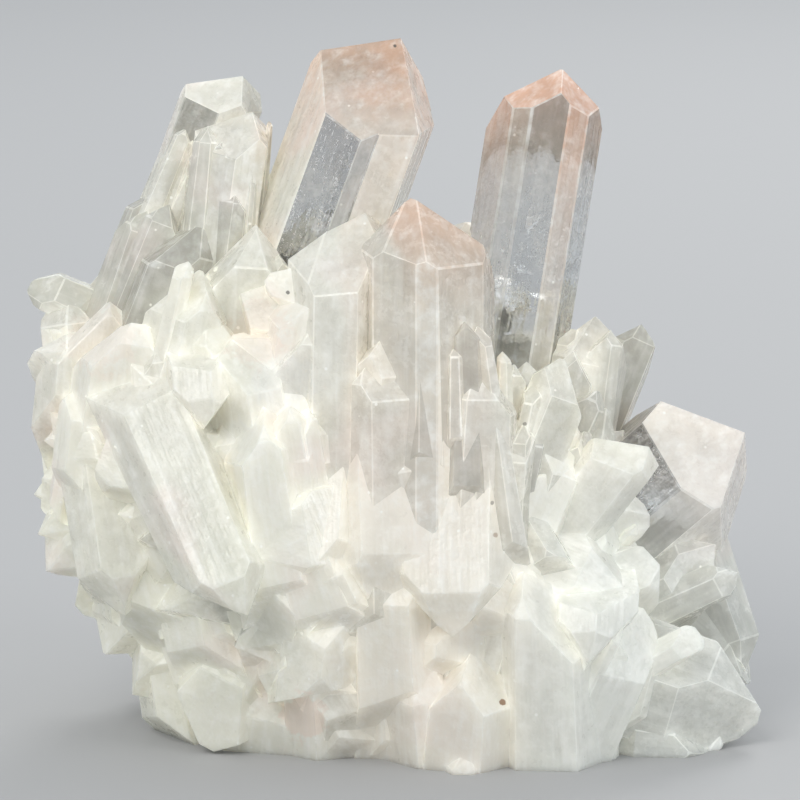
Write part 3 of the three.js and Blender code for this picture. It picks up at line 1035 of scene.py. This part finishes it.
@dataclass(frozen=True)
class QuartzFinish:
    """The stone's finish: clear where the crystals are clear, milky elsewhere.

    The glow's depth is how far light is carried under the milky surface, and the relief's depth
    is the height of its bumps. The streaks are noise that is drawn out along each crystal by the
    pull, and the soft rim is how wide the edge of a stain is.
    """

    milky: Colour = (0.845, 0.815, 0.73, 1)
    peach: Colour = (0.80, 0.53, 0.38, 1)
    red: Colour = (0.75, 0.26, 0.17, 1)
    greenish: Colour = (0.74, 0.74, 0.615, 1)
    beige: Colour = (0.79, 0.70, 0.60, 1)
    bluish: Colour = (0.78, 0.80, 0.76, 1)
    # The white that fine flaws and streaks are lightened towards, and also the painted highlight of worn
    # edges and glinting specks.
    white: Colour = (0.91, 0.905, 0.86, 1)
    pink: Colour = (0.85, 0.71, 0.66, 1)
    glass: Colour = (0.72, 0.73, 0.73, 1)
    glow_depth: float = 4.5
    glow_spread: tuple[float, float, float] = (1.0, 0.92, 0.82)
    relief_depth: float = 0.4
    relief_strength: float = 0.7
    glass_roughness: float = 0.03
    streak_pull: float = 0.9
    soft_rim: float = 2
    marks: tuple[Mark, ...] = (
        Mark(16.3, 10.0, -28, 0.45, 0.85, BROWN),
        Mark(-15.7, 71.2, -14, 0.28, 0.8, DARK),
        Mark(19.7, 51.6, -23, 0.26, 0.6, DARK),
        Mark(14.8, 39.8, -27, 0.26, 0.6, DARK),
        Mark(15.2, 35.0, -27, 0.35, 0.5, BROWN),
        Mark(0.2, 108.3, 5, 0.28, 0.9, DARK),
        Mark(-16.6, 57.9, -26, 4.0, 0.35, CRUST),
        Mark(-22.3, 49.1, -27, 3.2, 0.35, CRUST),
        Mark(-20.4, 65.0, -20, 4.5, 0.32, WARM),
        Mark(-43.9, 64.6, -10, 5.0, 0.25, WARM),
        Mark(-13.3, 7.6, -26, 3.4, 0.6, WARM),
    )

    def _marked(self, s: Shading, place: Wire, colour: Wire, ragged: Wire, shift: Vec) -> Wire:
        """Lays the small marks over a colour.

        A mark covers the front of the stone within its radius of a line that runs through its
        middle from front to back, and has a ragged rim.

        Args:
            s: The material's nodes.
            place: The place on the object.
            colour: The colour so far.
            ragged: Fine noise that makes the rims uneven.
            shift: How far the cluster was moved to centre it.

        Returns:
            The colour with the marks.
        """
        front = s.dot(place, VIEW_NEAR).rise(0, 8)
        for mark in self.marks:
            middle = seen(mark.across, mark.up, mark.depth) + shift
            away = s.vector("SUBTRACT", place, tuple(middle))
            off = s.vector("CROSS_PRODUCT", away, tuple(VIEW_NEAR))
            uneven = s.vector("LENGTH", off, output="Value") + (ragged - 0.5) * mark.radius * 2
            rim = uneven.rise(mark.radius * 1.2, mark.radius * 0.8)
            colour = s.mix(rim * front * mark.strength, colour, mark.colour)
        return colour

    def _below(self, s: Shading, place: Wire, crystal: Crystal) -> Wire:
        """Gives how far below a crystal's tip a place lies, along the crystal."""
        along = crystal.heading.along
        return float(along @ crystal.tip) - s.dot(place, along)

    def _about(
        self, s: Shading, place: Wire, crystal: Crystal, radius: float, aside: float = 0
    ) -> Wire:
        """Goes from 1 near a crystal's axis to 0 away from it.

        The distance from the axis is the length of the cross product of the axis's direction and
        the way from the tip.

        Args:
            s: The material's nodes.
            place: The place on the object.
            crystal: The crystal.
            radius: Distance from the axis at which the value starts to fall.
            aside: How far to the crystal's right the axis is moved.

        Returns:
            The value.
        """
        away = s.vector("SUBTRACT", place, tuple(crystal.tip + crystal.heading.right * aside))
        off = s.vector("CROSS_PRODUCT", away, tuple(crystal.heading.along))
        return s.vector("LENGTH", off, output="Value").rise(radius + self.soft_rim, radius)

    def _mass_colour(self, s: Shading, place: Wire, tone: Wire) -> Wire:
        """Mixes the milky colour with the tints of the stone's regions.

        Args:
            s: The material's nodes.
            place: The place on the object.
            tone: Each face's own tone.

        Returns:
            The colour.
        """
        across, depth, height = (s.dot(place, axis) for axis in np.eye(3))
        mottle = s.noise(place, 17, 1)
        warmth = s.noise(place, 12, 1).rise(0.52, 0.72)
        colour = s.mix(mottle.rise(0.35, 0.65) * 0.3 + tone * 0.35, self.milky, self.greenish)
        low_left = across.rise(10, -34) * height.rise(62, 20)
        colour = s.mix(low_left * 0.4, colour, self.greenish)
        aside = across - 4
        middle = aside.rise(22, 4) * aside.rise(-22, -4) * height.rise(68, 42) * depth.rise(-8, -20)
        colour = s.mix(middle * 0.4, colour, self.beige)
        colour = s.mix(warmth * across.rise(24, -10) * 0.38, colour, self.pink)
        low_right = across.rise(6, 34) * height.rise(50, 26)
        return s.mix(low_right * 0.6, colour, self.bluish)

    def _stained(
        self, s: Shading, place: Wire, colour: Wire, heroes: dict[str, Crystal], cloud: Wire, blush: Wire
    ) -> Wire:
        """Stains the tips of the large points.

        Args:
            s: The material's nodes.
            place: The place on the object.
            colour: The colour so far.
            heroes: The large crystals by name.
            cloud: Soft noise.
            blush: How strongly each face of the tall point is stained.

        Returns:
            The colour with the stains.
        """
        broad, front = heroes["broad_left"], heroes["front"]
        right, tall = heroes["right"], heroes["tall"]
        stain = 0.9 + 1.2 * (cloud - 0.5)
        near, below = self._about(s, place, broad, 15), self._below(s, place, broad)
        colour = s.mix(near * below.rise(30, 0) * stain, colour, self.peach)
        near, below = self._about(s, place, front, 11, 2), self._below(s, place, front)
        colour = s.mix(near * below.rise(62, 20) * 0.45, colour, self.beige)
        near = self._about(s, place, front, 8, 6)
        colour = s.mix(near * below.rise(20, 0) * 0.75, colour, self.peach)
        near, below = self._about(s, place, right, 13), self._below(s, place, right)
        colour = s.mix(near * below.rise(28, 2) * 0.4, colour, self.pink)
        near, below = self._about(s, place, tall, 12), self._below(s, place, tall)
        colour = s.mix(near * below.rise(20, 3) * (0.25 + 0.7 * blush), colour, self.red)
        return s.mix(near * below.rise(52, 8) * (0.18 + 0.7 * blush), colour, self.peach)

    def _frost(self, s: Shading, place: Wire, heroes: dict[str, Crystal]) -> Wire:
        """Gives how much milkier the clear points are at their tips and feet.

        Args:
            s: The material's nodes.
            place: The place on the object.
            heroes: The large crystals by name.

        Returns:
            What is taken off the clearness.
        """
        tall, broad = heroes["tall"], heroes["broad_left"]
        near, below = self._about(s, place, tall, 12), self._below(s, place, tall)
        frost = near * below.rise(26, 6) * 0.3 + near * below.rise(35, 50) * 0.55
        near, below = self._about(s, place, broad, 15), self._below(s, place, broad)
        return frost + near * below.rise(48, 62) * 0.6

    def material(self, heroes: dict[str, Crystal], shift: Vec) -> bpy.types.Material:
        """Builds the material: a milky shader and a glassy one, mixed by how clear each face is.

        Args:
            heroes: The large crystals by name, for what follows their length.
            shift: How far the cluster was moved to centre it.

        Returns:
            The material.
        """
        s = Shading("quartz")
        place = s.place()
        tone, clear, edge, blush = (
            s.wire("ShaderNodeAttribute", {"attribute_name": name}, {}, "Fac")
            for name in ("tone", "clear", "edge", "blush")
        )
        along = s.wire("ShaderNodeAttribute", {"attribute_name": "along"}, {}, "Vector")
        pulled = s.vector("SCALE", along, Scale=s.dot(place, along) * self.streak_pull)
        streak = s.noise(s.vector("SUBTRACT", place, pulled), 1.6, 2, 0.65)
        cloud = s.noise(place, 6, 2)
        flaw = s.noise(place, 2.2, 3, 0.65)
        grain = s.noise(place, 0.6, 1)

        colour = self._mass_colour(s, place, tone)
        colour = self._stained(s, place, colour, heroes, cloud, blush)
        fine = (flaw.rise(0.42, 0.75) * 0.6 + streak.rise(0.45, 0.75) * 0.6).clipped()
        # Painted highlight: tiny white specks scattered along the streaks stand in for glints; they also
        # make the glass milkier there.
        painted_sparkle = s.voronoi(place, 3.4).rise(0.09, 0.03) * (streak * 1.6).clipped()
        # Painted highlight: the worn edges are whitened, more on the clear crystals, so that they show
        # as thin bright lines.
        rims = edge * flaw.rise(0.35, 0.6) * (0.15 + 0.32 * clear)
        colour = s.mix((fine * 0.5 + rims + painted_sparkle * 0.8).clipped(), colour, self.white)
        colour = self._marked(s, place, colour, flaw, shift)

        window = clear * 1.08 - 0.06 - cloud.rise(0.35, 0.7) * 0.12 - fine * (0.08 + 0.1 * clear)
        window = (window - edge * 0.2 - self._frost(s, place, heroes) - painted_sparkle * 0.5).clipped()
        relief = grain * 0.15 + streak * 1.2 + flaw * 0.8 + cloud * 1.5 * (1 - clear)
        depth = {"Strength": self.relief_strength, "Distance": self.relief_depth * MM}
        ripple = s.wire("ShaderNodeBump", {}, {**depth, "Height": relief}, "Normal")
        shared = {"IOR": QUARTZ_IOR, "Normal": ripple}
        rough = (0.36 - 0.26 * clear + 0.3 * (flaw - 0.5) - 0.1 * edge).clipped()
        milky = s.principled(
            {
                **shared, "Base Color": colour, "Roughness": rough,
                "Subsurface Weight": 1.0, "Subsurface Radius": self.glow_spread,
                "Subsurface Scale": self.glow_depth * MM,
            },
            subsurface_method="BURLEY",
        )
        glassy = s.principled(
            {
                **shared, "Base Color": s.mix(clear, colour, self.glass),
                "Roughness": self.glass_roughness, "Transmission Weight": 1.0,
            }
        )
        s.output(s.wire("ShaderNodeMixShader", {}, {0: window, 1: milky, 2: glassy}, "Shader"))
        return s.material


@dataclass
class Veils:
    """Healed cracks inside the clear points: thin curved sheets and flecks, lit by a painted glow of
    their own.

    Each row names a point and gives how far below its tip the cracks start and end, how far they
    spread from its axis, how far they are moved to its right, and the number of sheets and of
    flecks. A crack is 0.4 to 1.2 of its kind's size, and keeps the inset from the point's faces.
    """

    rows: tuple[tuple, ...] = (
        ("tall", 24, 62, 4.5, -1.0, 12, 190),
        ("broad_left", 27, 50, 5.0, 1.0, 9, 120),
        ("left", 8, 34, 3.5, 0.0, 6, 60),
        ("left_low", 8, 30, 3.0, -2.0, 5, 50),
        ("right", 14, 34, 6.0, 0.0, 5, 50),
    )
    sheet_size: float = 3.4
    fleck_size: float = 0.65
    steps: int = 9
    fleck_steps: int = 2
    inset: float = 0.3
    seed: int = 7
    dull: Colour = (0.9, 0.92, 0.93, 1)
    bright: Colour = (1, 1, 1, 1)
    painted_glow: Colour = (0.9, 0.95, 1.0, 1)

    def _patches(self, middles: Vec, tilts: Vec, sizes: Vec, steps: int) -> tuple[Vec, Vec]:
        """Lays one curved patch at each place.

        A patch is a square grid from -1 to 1 each way, pulled round to a disc. Its bulge is the
        square of the first way plus 0.6 of the product of both ways.

        Args:
            middles: Place of each patch.
            tilts: Three directions of each patch: its two sides and its bulge.
            sizes: Half width along each side, and height of the bulge.
            steps: Points along a side.

        Returns:
            The corners, and the faces as rows of four.
        """
        line = np.linspace(-1, 1, steps)
        u, v = (grid.ravel() for grid in np.meshgrid(line, line))
        round_u, round_v = u * np.sqrt(1 - v**2 / 2), v * np.sqrt(1 - u**2 / 2)
        shape = np.stack([round_u, round_v, round_u**2 + 0.6 * round_u * round_v], axis=1)
        corners = middles[:, None] + np.einsum("pk,nk,nkj->npj", shape, sizes, tilts)
        first = np.arange(steps * steps).reshape(steps, steps)
        quads = np.stack([first[:-1, :-1], first[:-1, 1:], first[1:, 1:], first[1:, :-1]], axis=-1)
        starts = np.arange(len(middles))[:, None, None] * steps * steps
        faces = quads.reshape(-1, 4)[None] + starts
        return corners.reshape(-1, 3), faces.reshape(-1, 4)

    def build(self, heroes: dict[str, Crystal]) -> bpy.types.Object:
        """Makes the cracks of all the clear points as one piece.

        Patches are scattered about each point's axis at chance, and those that come nearer to a
        face than the inset are dropped.

        Args:
            heroes: The large crystals by name.

        Returns:
            The piece.
        """
        chooser = np.random.default_rng(self.seed)
        corners, faces, total = [], [], 0
        for name, start, end, spread, aside, sheets, flecks in self.rows:
            crystal = heroes[name]
            basis = np.stack([crystal.heading.right, crystal.heading.near, crystal.heading.along])
            kinds = (
                (sheets, self.sheet_size, self.steps), (flecks, self.fleck_size, self.fleck_steps)
            )
            for count, size, steps in kinds:
                down = chooser.uniform(start, end, count)
                off = chooser.normal(0, 0.45, (count, 2)) * spread
                local = np.stack([off[:, 0] + aside, off[:, 1] - 1, -down], axis=1)
                middles = crystal.tip + local @ basis
                tilts = np.linalg.qr(chooser.normal(size=(count, 3, 3)))[0]
                sizes = size * chooser.uniform(0.4, 1.2, (count, 3)) * [1, 0.6, 0.3]
                made, rows = self._patches(middles, tilts, sizes, steps)
                within = (made @ crystal.normals.T < crystal.reaches - self.inset).all(1)
                keep = np.repeat(within.reshape(count, -1).all(1), (steps - 1) ** 2)
                corners.append(made)
                faces.append(rows[keep] + total)
                total += len(made)
        corners, faces = np.concatenate(corners), np.concatenate(faces)
        used, faces = np.unique(faces, return_inverse=True)
        mesh = bpy.data.meshes.new("quartz_veils")
        mesh.from_pydata((corners[used] * MM).tolist(), [], faces.reshape(-1, 4).tolist())
        veils = added("quartz_veils", mesh)
        mesh.materials.append(self._finish())
        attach(veils, "root")
        return veils

    def _finish(self) -> bpy.types.Material:
        """Builds the cracks' feathery white, which is metallic and has a painted glow of its own.

        Returns:
            The material.
        """
        s = Shading("veil")
        place = s.place()
        feather = s.noise(place, 0.9, 4, 0.7)
        look = {
            "Base Color": s.mix(feather, self.dull, self.bright),
            "Roughness": 0.25,
            "Metallic": 0.85,
            # Painted light: the cracks glow a little and are metallic so that they show white inside the
            # glass; real healed cracks only scatter light.
            "Emission Color": self.painted_glow,
            "Emission Strength": 0.35,
            "Alpha": feather.rise(0.38, 0.62) * 0.9,
        }
        s.output(s.principled(look))
        return s.material


@dataclass
class Cluster:
    """The whole stone: its crystals joined into one skin.

    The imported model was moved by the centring, so that its box has its middle at the origin, and
    the crystals are moved alike. The margin is what the small ones stay inside that box. The
    gaps and the least facing settle which crystal a face of the skin belongs to, and a face that
    is turned from its crystal's plane by more than the flat facing allows is a worn edge.
    """

    centring: tuple[float, float, float] = (-0.061, 0.0128, 0.0)
    margin: float = 0.05
    pair: tuple[str, str] = ("left", "left_low")
    outer_gap: float = 0.03
    plane_gap: float = 0.4
    least_facing: float = 0.8
    flat_facing: float = 0.995
    saw_size: float = 400.0
    tall: TallPoints = field(default_factory=TallPoints)
    front: FrontPoints = field(default_factory=FrontPoints)
    mass: Mass = field(default_factory=Mass)
    growth: SideGrowth = SideGrowth()
    pair_growth: SideGrowth = SideGrowth(each=12, least=0.3, most=0.7, clearness=1.2)
    cover: Cover = field(default_factory=Cover)
    blades: FanBlades = field(default_factory=FanBlades)
    finish: QuartzFinish = field(default_factory=QuartzFinish)
    crystals: list[Crystal] = field(init=False)
    shift: Vec = field(init=False)
    heroes: dict[str, Crystal] = field(init=False)

    def __post_init__(self) -> None:
        """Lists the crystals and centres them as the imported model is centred."""
        heroes = self.tall.crystals()
        crowd, front = self.mass.crowd(), self.front.crystals()
        self.shift = np.array(self.centring)
        crowd = [crystal for crystal in crowd if self.mass.leaves_fan_free(crystal)]
        broad = [crystal for crystal in crowd + front if self.growth.suits(crystal)]
        pair = [crystal for crystal in heroes if crystal.name in self.pair]
        small = self.growth.crystals(broad) + self.cover.crystals(self.mass)
        small += self.pair_growth.crystals(pair)
        small = [crystal for crystal in small if self._stays_within(crystal)]
        self.crystals = crowd + heroes + front + self.blades.crystals() + small
        for crystal in self.crystals:
            crystal.moved(self.shift)
        self.heroes = {crystal.name: crystal for crystal in heroes}

    def _stays_within(self, crystal: Crystal) -> bool:
        """Tells whether a crystal, once centred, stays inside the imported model's box.

        Args:
            crystal: The crystal, not centred yet.

        Returns:
            Whether it stays inside, by the margin.
        """
        corners = inside(crystal.normals, crystal.reaches).corners + self.shift
        reach = np.array(CAD_BOX[1][:2]) / MM - self.margin
        return bool((np.abs(corners)[:, :2] < reach).all())

    def _mesh(self, name: str, solid: Solid) -> bpy.types.Mesh:
        """Makes a mesh from a solid.

        Args:
            name: Name of the mesh.
            solid: The solid, in millimetres.

        Returns:
            The mesh.
        """
        mesh = bpy.data.meshes.new(name)
        mesh.from_pydata((solid.corners * MM).tolist(), [], solid.faces)
        return mesh

    def build(self) -> bpy.types.Object:
        """Joins the crystals to the mass, saws the underside flat and dresses the stone.

        Returns:
            The stone.
        """
        core = self.mass.core()
        core.corners = core.corners + self.shift
        stone = added("quartz_stone", self._mesh("quartz_stone", core))
        self._join(stone)
        self._keep_outer_skin(stone)
        self._mark_crystals(stone.data)
        stone.data.materials.clear()
        stone.data.materials.append(self.finish.material(self.heroes, self.shift))
        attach(stone, "root")
        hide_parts("quartz_cluster")
        return stone

    def _join(self, stone: bpy.types.Object) -> None:
        """Joins the crystals to the stone and cuts off what lies below the floor.

        Args:
            stone: The mass, which becomes the joined stone.
        """
        parts = bpy.data.collections.new("crystals")
        bpy.context.scene.collection.children.link(parts)
        for number, crystal in enumerate(self.crystals):
            name = f"crystal_{number}"
            parts.objects.link(bpy.data.objects.new(name, self._mesh(name, crystal.solid())))
        joined = stone.modifiers.new("join", "BOOLEAN")
        joined.operation, joined.solver = "UNION", "MANIFOLD"
        joined.operand_type, joined.collection = "COLLECTION", parts
        saw = added("saw", self._mesh("saw", self._block(self.saw_size)))
        sawn = stone.modifiers.new("saw", "BOOLEAN")
        sawn.operation, sawn.solver, sawn.object = "DIFFERENCE", "MANIFOLD", saw
        worked = stone.evaluated_get(bpy.context.evaluated_depsgraph_get())
        joined_mesh = bpy.data.meshes.new_from_object(worked)
        stone.modifiers.clear()
        stone.data = joined_mesh
        for old in [*parts.objects, saw]:
            bpy.data.objects.remove(old)
        bpy.data.collections.remove(parts)

    def _block(self, size: float) -> Solid:
        """Makes a cube whose top is the floor."""
        return inside(
            np.concatenate([np.eye(3), -np.eye(3)]), np.array([size, size, 0.0, size, size, size])
        )

    def _keep_outer_skin(self, stone: bpy.types.Object) -> None:
        """Drops the small closed skins that crystals shut in between them.

        Each corner takes the lowest number among the corners that it is joined to, again and
        again, until each skin has one number. The skin with the most corners stays.

        Args:
            stone: The joined stone.
        """
        mesh = stone.data
        edges = np.empty(len(mesh.edges) * 2, np.int32)
        mesh.edges.foreach_get("vertices", edges)
        first, second = edges.reshape(-1, 2).T
        group = np.arange(len(mesh.vertices))
        while True:
            low = np.minimum(group[first], group[second])
            new = group.copy()
            np.minimum.at(new, first, low)
            np.minimum.at(new, second, low)
            new = new[new]
            if (new == group).all():
                break
            group = new
        keep = group == np.bincount(group).argmax()
        if keep.all():
            return
        starts = np.array([polygon.loop_start for polygon in mesh.polygons])
        corner = np.empty(len(mesh.loops), np.int32)
        mesh.loops.foreach_get("vertex_index", corner)
        places = np.empty(len(mesh.vertices) * 3)
        mesh.vertices.foreach_get("co", places)
        number = np.cumsum(keep) - 1
        faces = [number[face].tolist() for face in np.split(corner, starts[1:]) if keep[face[0]]]
        clean = bpy.data.meshes.new(mesh.name)
        clean.from_pydata(places.reshape(-1, 3)[keep].tolist(), [], faces)
        stone.data = clean

    def _mark_crystals(self, mesh: bpy.types.Mesh) -> None:
        """Writes on each face its crystal's clearness, tone, stain and direction.

        A face belongs to the crystal that has a plane through its middle, facing the same way,
        and that holds its middle.

        Args:
            mesh: The joined skin.
        """
        count = len(mesh.polygons)
        middles, normals = np.empty(count * 3), np.empty(count * 3)
        mesh.polygons.foreach_get("center", middles)
        mesh.polygons.foreach_get("normal", normals)
        middles, normals = middles.reshape(-1, 3) / MM, normals.reshape(-1, 3)
        tone, along = np.full(count, 0.5), np.tile([0.0, 0.0, 1.0], (count, 1))
        clear, edge, blush = np.zeros((3, count))
        for number, crystal in enumerate(self.crystals):
            gap = middles @ crystal.normals.T - crystal.reaches
            held = (gap < self.outer_gap).all(1)
            facing = np.where(np.abs(gap) < self.plane_gap, normals @ crystal.normals.T, -1)
            mine = held & (facing.max(1) > self.least_facing)
            plane_clear = np.full(len(crystal.normals), crystal.clear)
            for plane, value in crystal.clear_faces.items():
                plane_clear[plane] = value
            planes = range(len(crystal.normals))
            plane_tone = np.array([chance(number, plane, 21) for plane in planes])
            nearest = facing.argmax(1)[mine]
            tone[mine] = (plane_tone[nearest] + chance(number, 21)) / 2
            clear[mine] = plane_clear[nearest]
            edge[mine] = facing.max(1)[mine] < self.flat_facing
            blush[mine] = [crystal.blush_faces.get(int(plane), 0.0) for plane in nearest]
            along[mine] = crystal.heading.along
        for name, values in (("tone", tone), ("clear", clear), ("edge", edge), ("blush", blush)):
            layer = mesh.attributes.new(name, "FLOAT", "FACE")
            layer.data.foreach_set("value", values.astype(np.float32))
        layer = mesh.attributes.new("along", "FLOAT_VECTOR", "FACE")
        layer.data.foreach_set("vector", along.astype(np.float32).ravel())


@dataclass(frozen=True)
class Lamp:
    """A soft square light: its place and side in metres, its watts and its colour."""

    name: str
    place: tuple[float, float, float]
    size: float
    power: float
    tint: tuple[float, float, float]


@dataclass
class Studio:
    """The floor, the lights and the camera."""

    floor_size: float = 4.0
    floor_colour: Colour = (0.45, 0.45, 0.45, 1)
    floor_roughness: float = 0.8
    lit_place: tuple[float, float, float] = (0.0, 0.0, 0.05)
    lamps: tuple[Lamp, ...] = (
        Lamp("key", (-0.45, -0.7, 0.8), 0.6, 4.8, (1, 0.98, 0.95)),
        Lamp("fill", (0.9, -0.5, 0.4), 0.5, 2.5, (0.96, 0.98, 1)),
        Lamp("rear", (0.3, 0.8, 0.7), 0.5, 3.8, (1, 1, 1)),
    )
    room_colour: Colour = (0.9, 0.95, 1, 1)
    room_light: float = 0.72
    sensor_width: float = 36.0
    picture_width: float = 120.0
    picture_across: float = 0.975
    picture_up: float = -0.8

    def floor(self) -> bpy.types.Object:
        """Lays the pale floor as one flat square.

        Returns:
            The floor.
        """
        half = self.floor_size / 2
        mesh = bpy.data.meshes.new("floor")
        corners = [(-half, -half, 0), (half, -half, 0), (half, half, 0), (-half, half, 0)]
        mesh.from_pydata(corners, [], [(0, 1, 2, 3)])
        floor = added("floor", mesh)
        s = Shading("floor")
        s.output(s.principled({"Base Color": self.floor_colour, "Roughness": self.floor_roughness}))
        mesh.materials.append(s.material)
        return floor

    def light(self, lamp: Lamp) -> None:
        """Hangs a soft square light that faces the stone.

        Args:
            lamp: The light's place, size, power and colour.
        """
        data = bpy.data.lights.new(lamp.name, "AREA")
        data.size, data.energy, data.color = lamp.size, lamp.power, lamp.tint
        hung = added(lamp.name, data)
        hung.location = lamp.place
        back = unit(np.array(lamp.place) - np.array(self.lit_place))
        side = unit(np.cross([0.0, 0.0, 1.0], back))
        turn = np.stack([side, np.cross(back, side), back], axis=1)
        hung.rotation_euler = Matrix(turn.tolist()).to_euler()

    def lights(self) -> None:
        """Hangs the lights and sets the even light of the room."""
        for lamp in self.lamps:
            self.light(lamp)
        world = bpy.data.worlds.new("room")
        world.use_nodes = True
        background = world.node_tree.nodes["Background"]
        background.inputs["Color"].default_value = self.room_colour
        background.inputs["Strength"].default_value = self.room_light
        bpy.context.scene.world = world
        bpy.context.scene.view_settings.view_transform = "Standard"

    def camera(self, shift: Vec) -> None:
        """Sets the camera where the photograph was taken from.

        Args:
            shift: How far the cluster was moved to centre it.
        """
        aim = np.array([0.0, 0.0, AIM_HEIGHT]) + shift
        aim = aim + VIEW_RIGHT * self.picture_across + VIEW_UP * self.picture_up
        data = bpy.data.cameras.new("camera")
        data.sensor_width = self.sensor_width
        data.lens = data.sensor_width * VIEW_DISTANCE / self.picture_width
        data.clip_start, data.clip_end = 0.01, 20
        camera = added("camera", data)
        camera.location = (aim + VIEW_NEAR * VIEW_DISTANCE) * MM
        turn = np.stack([VIEW_RIGHT, VIEW_UP, VIEW_NEAR], axis=1)
        camera.rotation_euler = Matrix(turn.tolist()).to_euler()
        bpy.context.scene.camera = camera


def main() -> None:
    """Builds the cluster, the room and the camera, and reports each piece."""
    logging.basicConfig(level=logging.INFO, format="%(message)s")
    cluster = Cluster()
    studio = Studio()
    studio.camera(cluster.shift)
    stone = cluster.build()
    veils = Veils().build(cluster.heroes)
    faces = len(stone.data.polygons)
    log.info("%s: %d faces, %d crystals", stone.name, faces, len(cluster.crystals))
    log.info("%s: %d faces", veils.name, len(veils.data.polygons))
    studio.floor()
    studio.lights()
    log.info("floor and lights are in place")


if __name__ == "__main__":
    main()
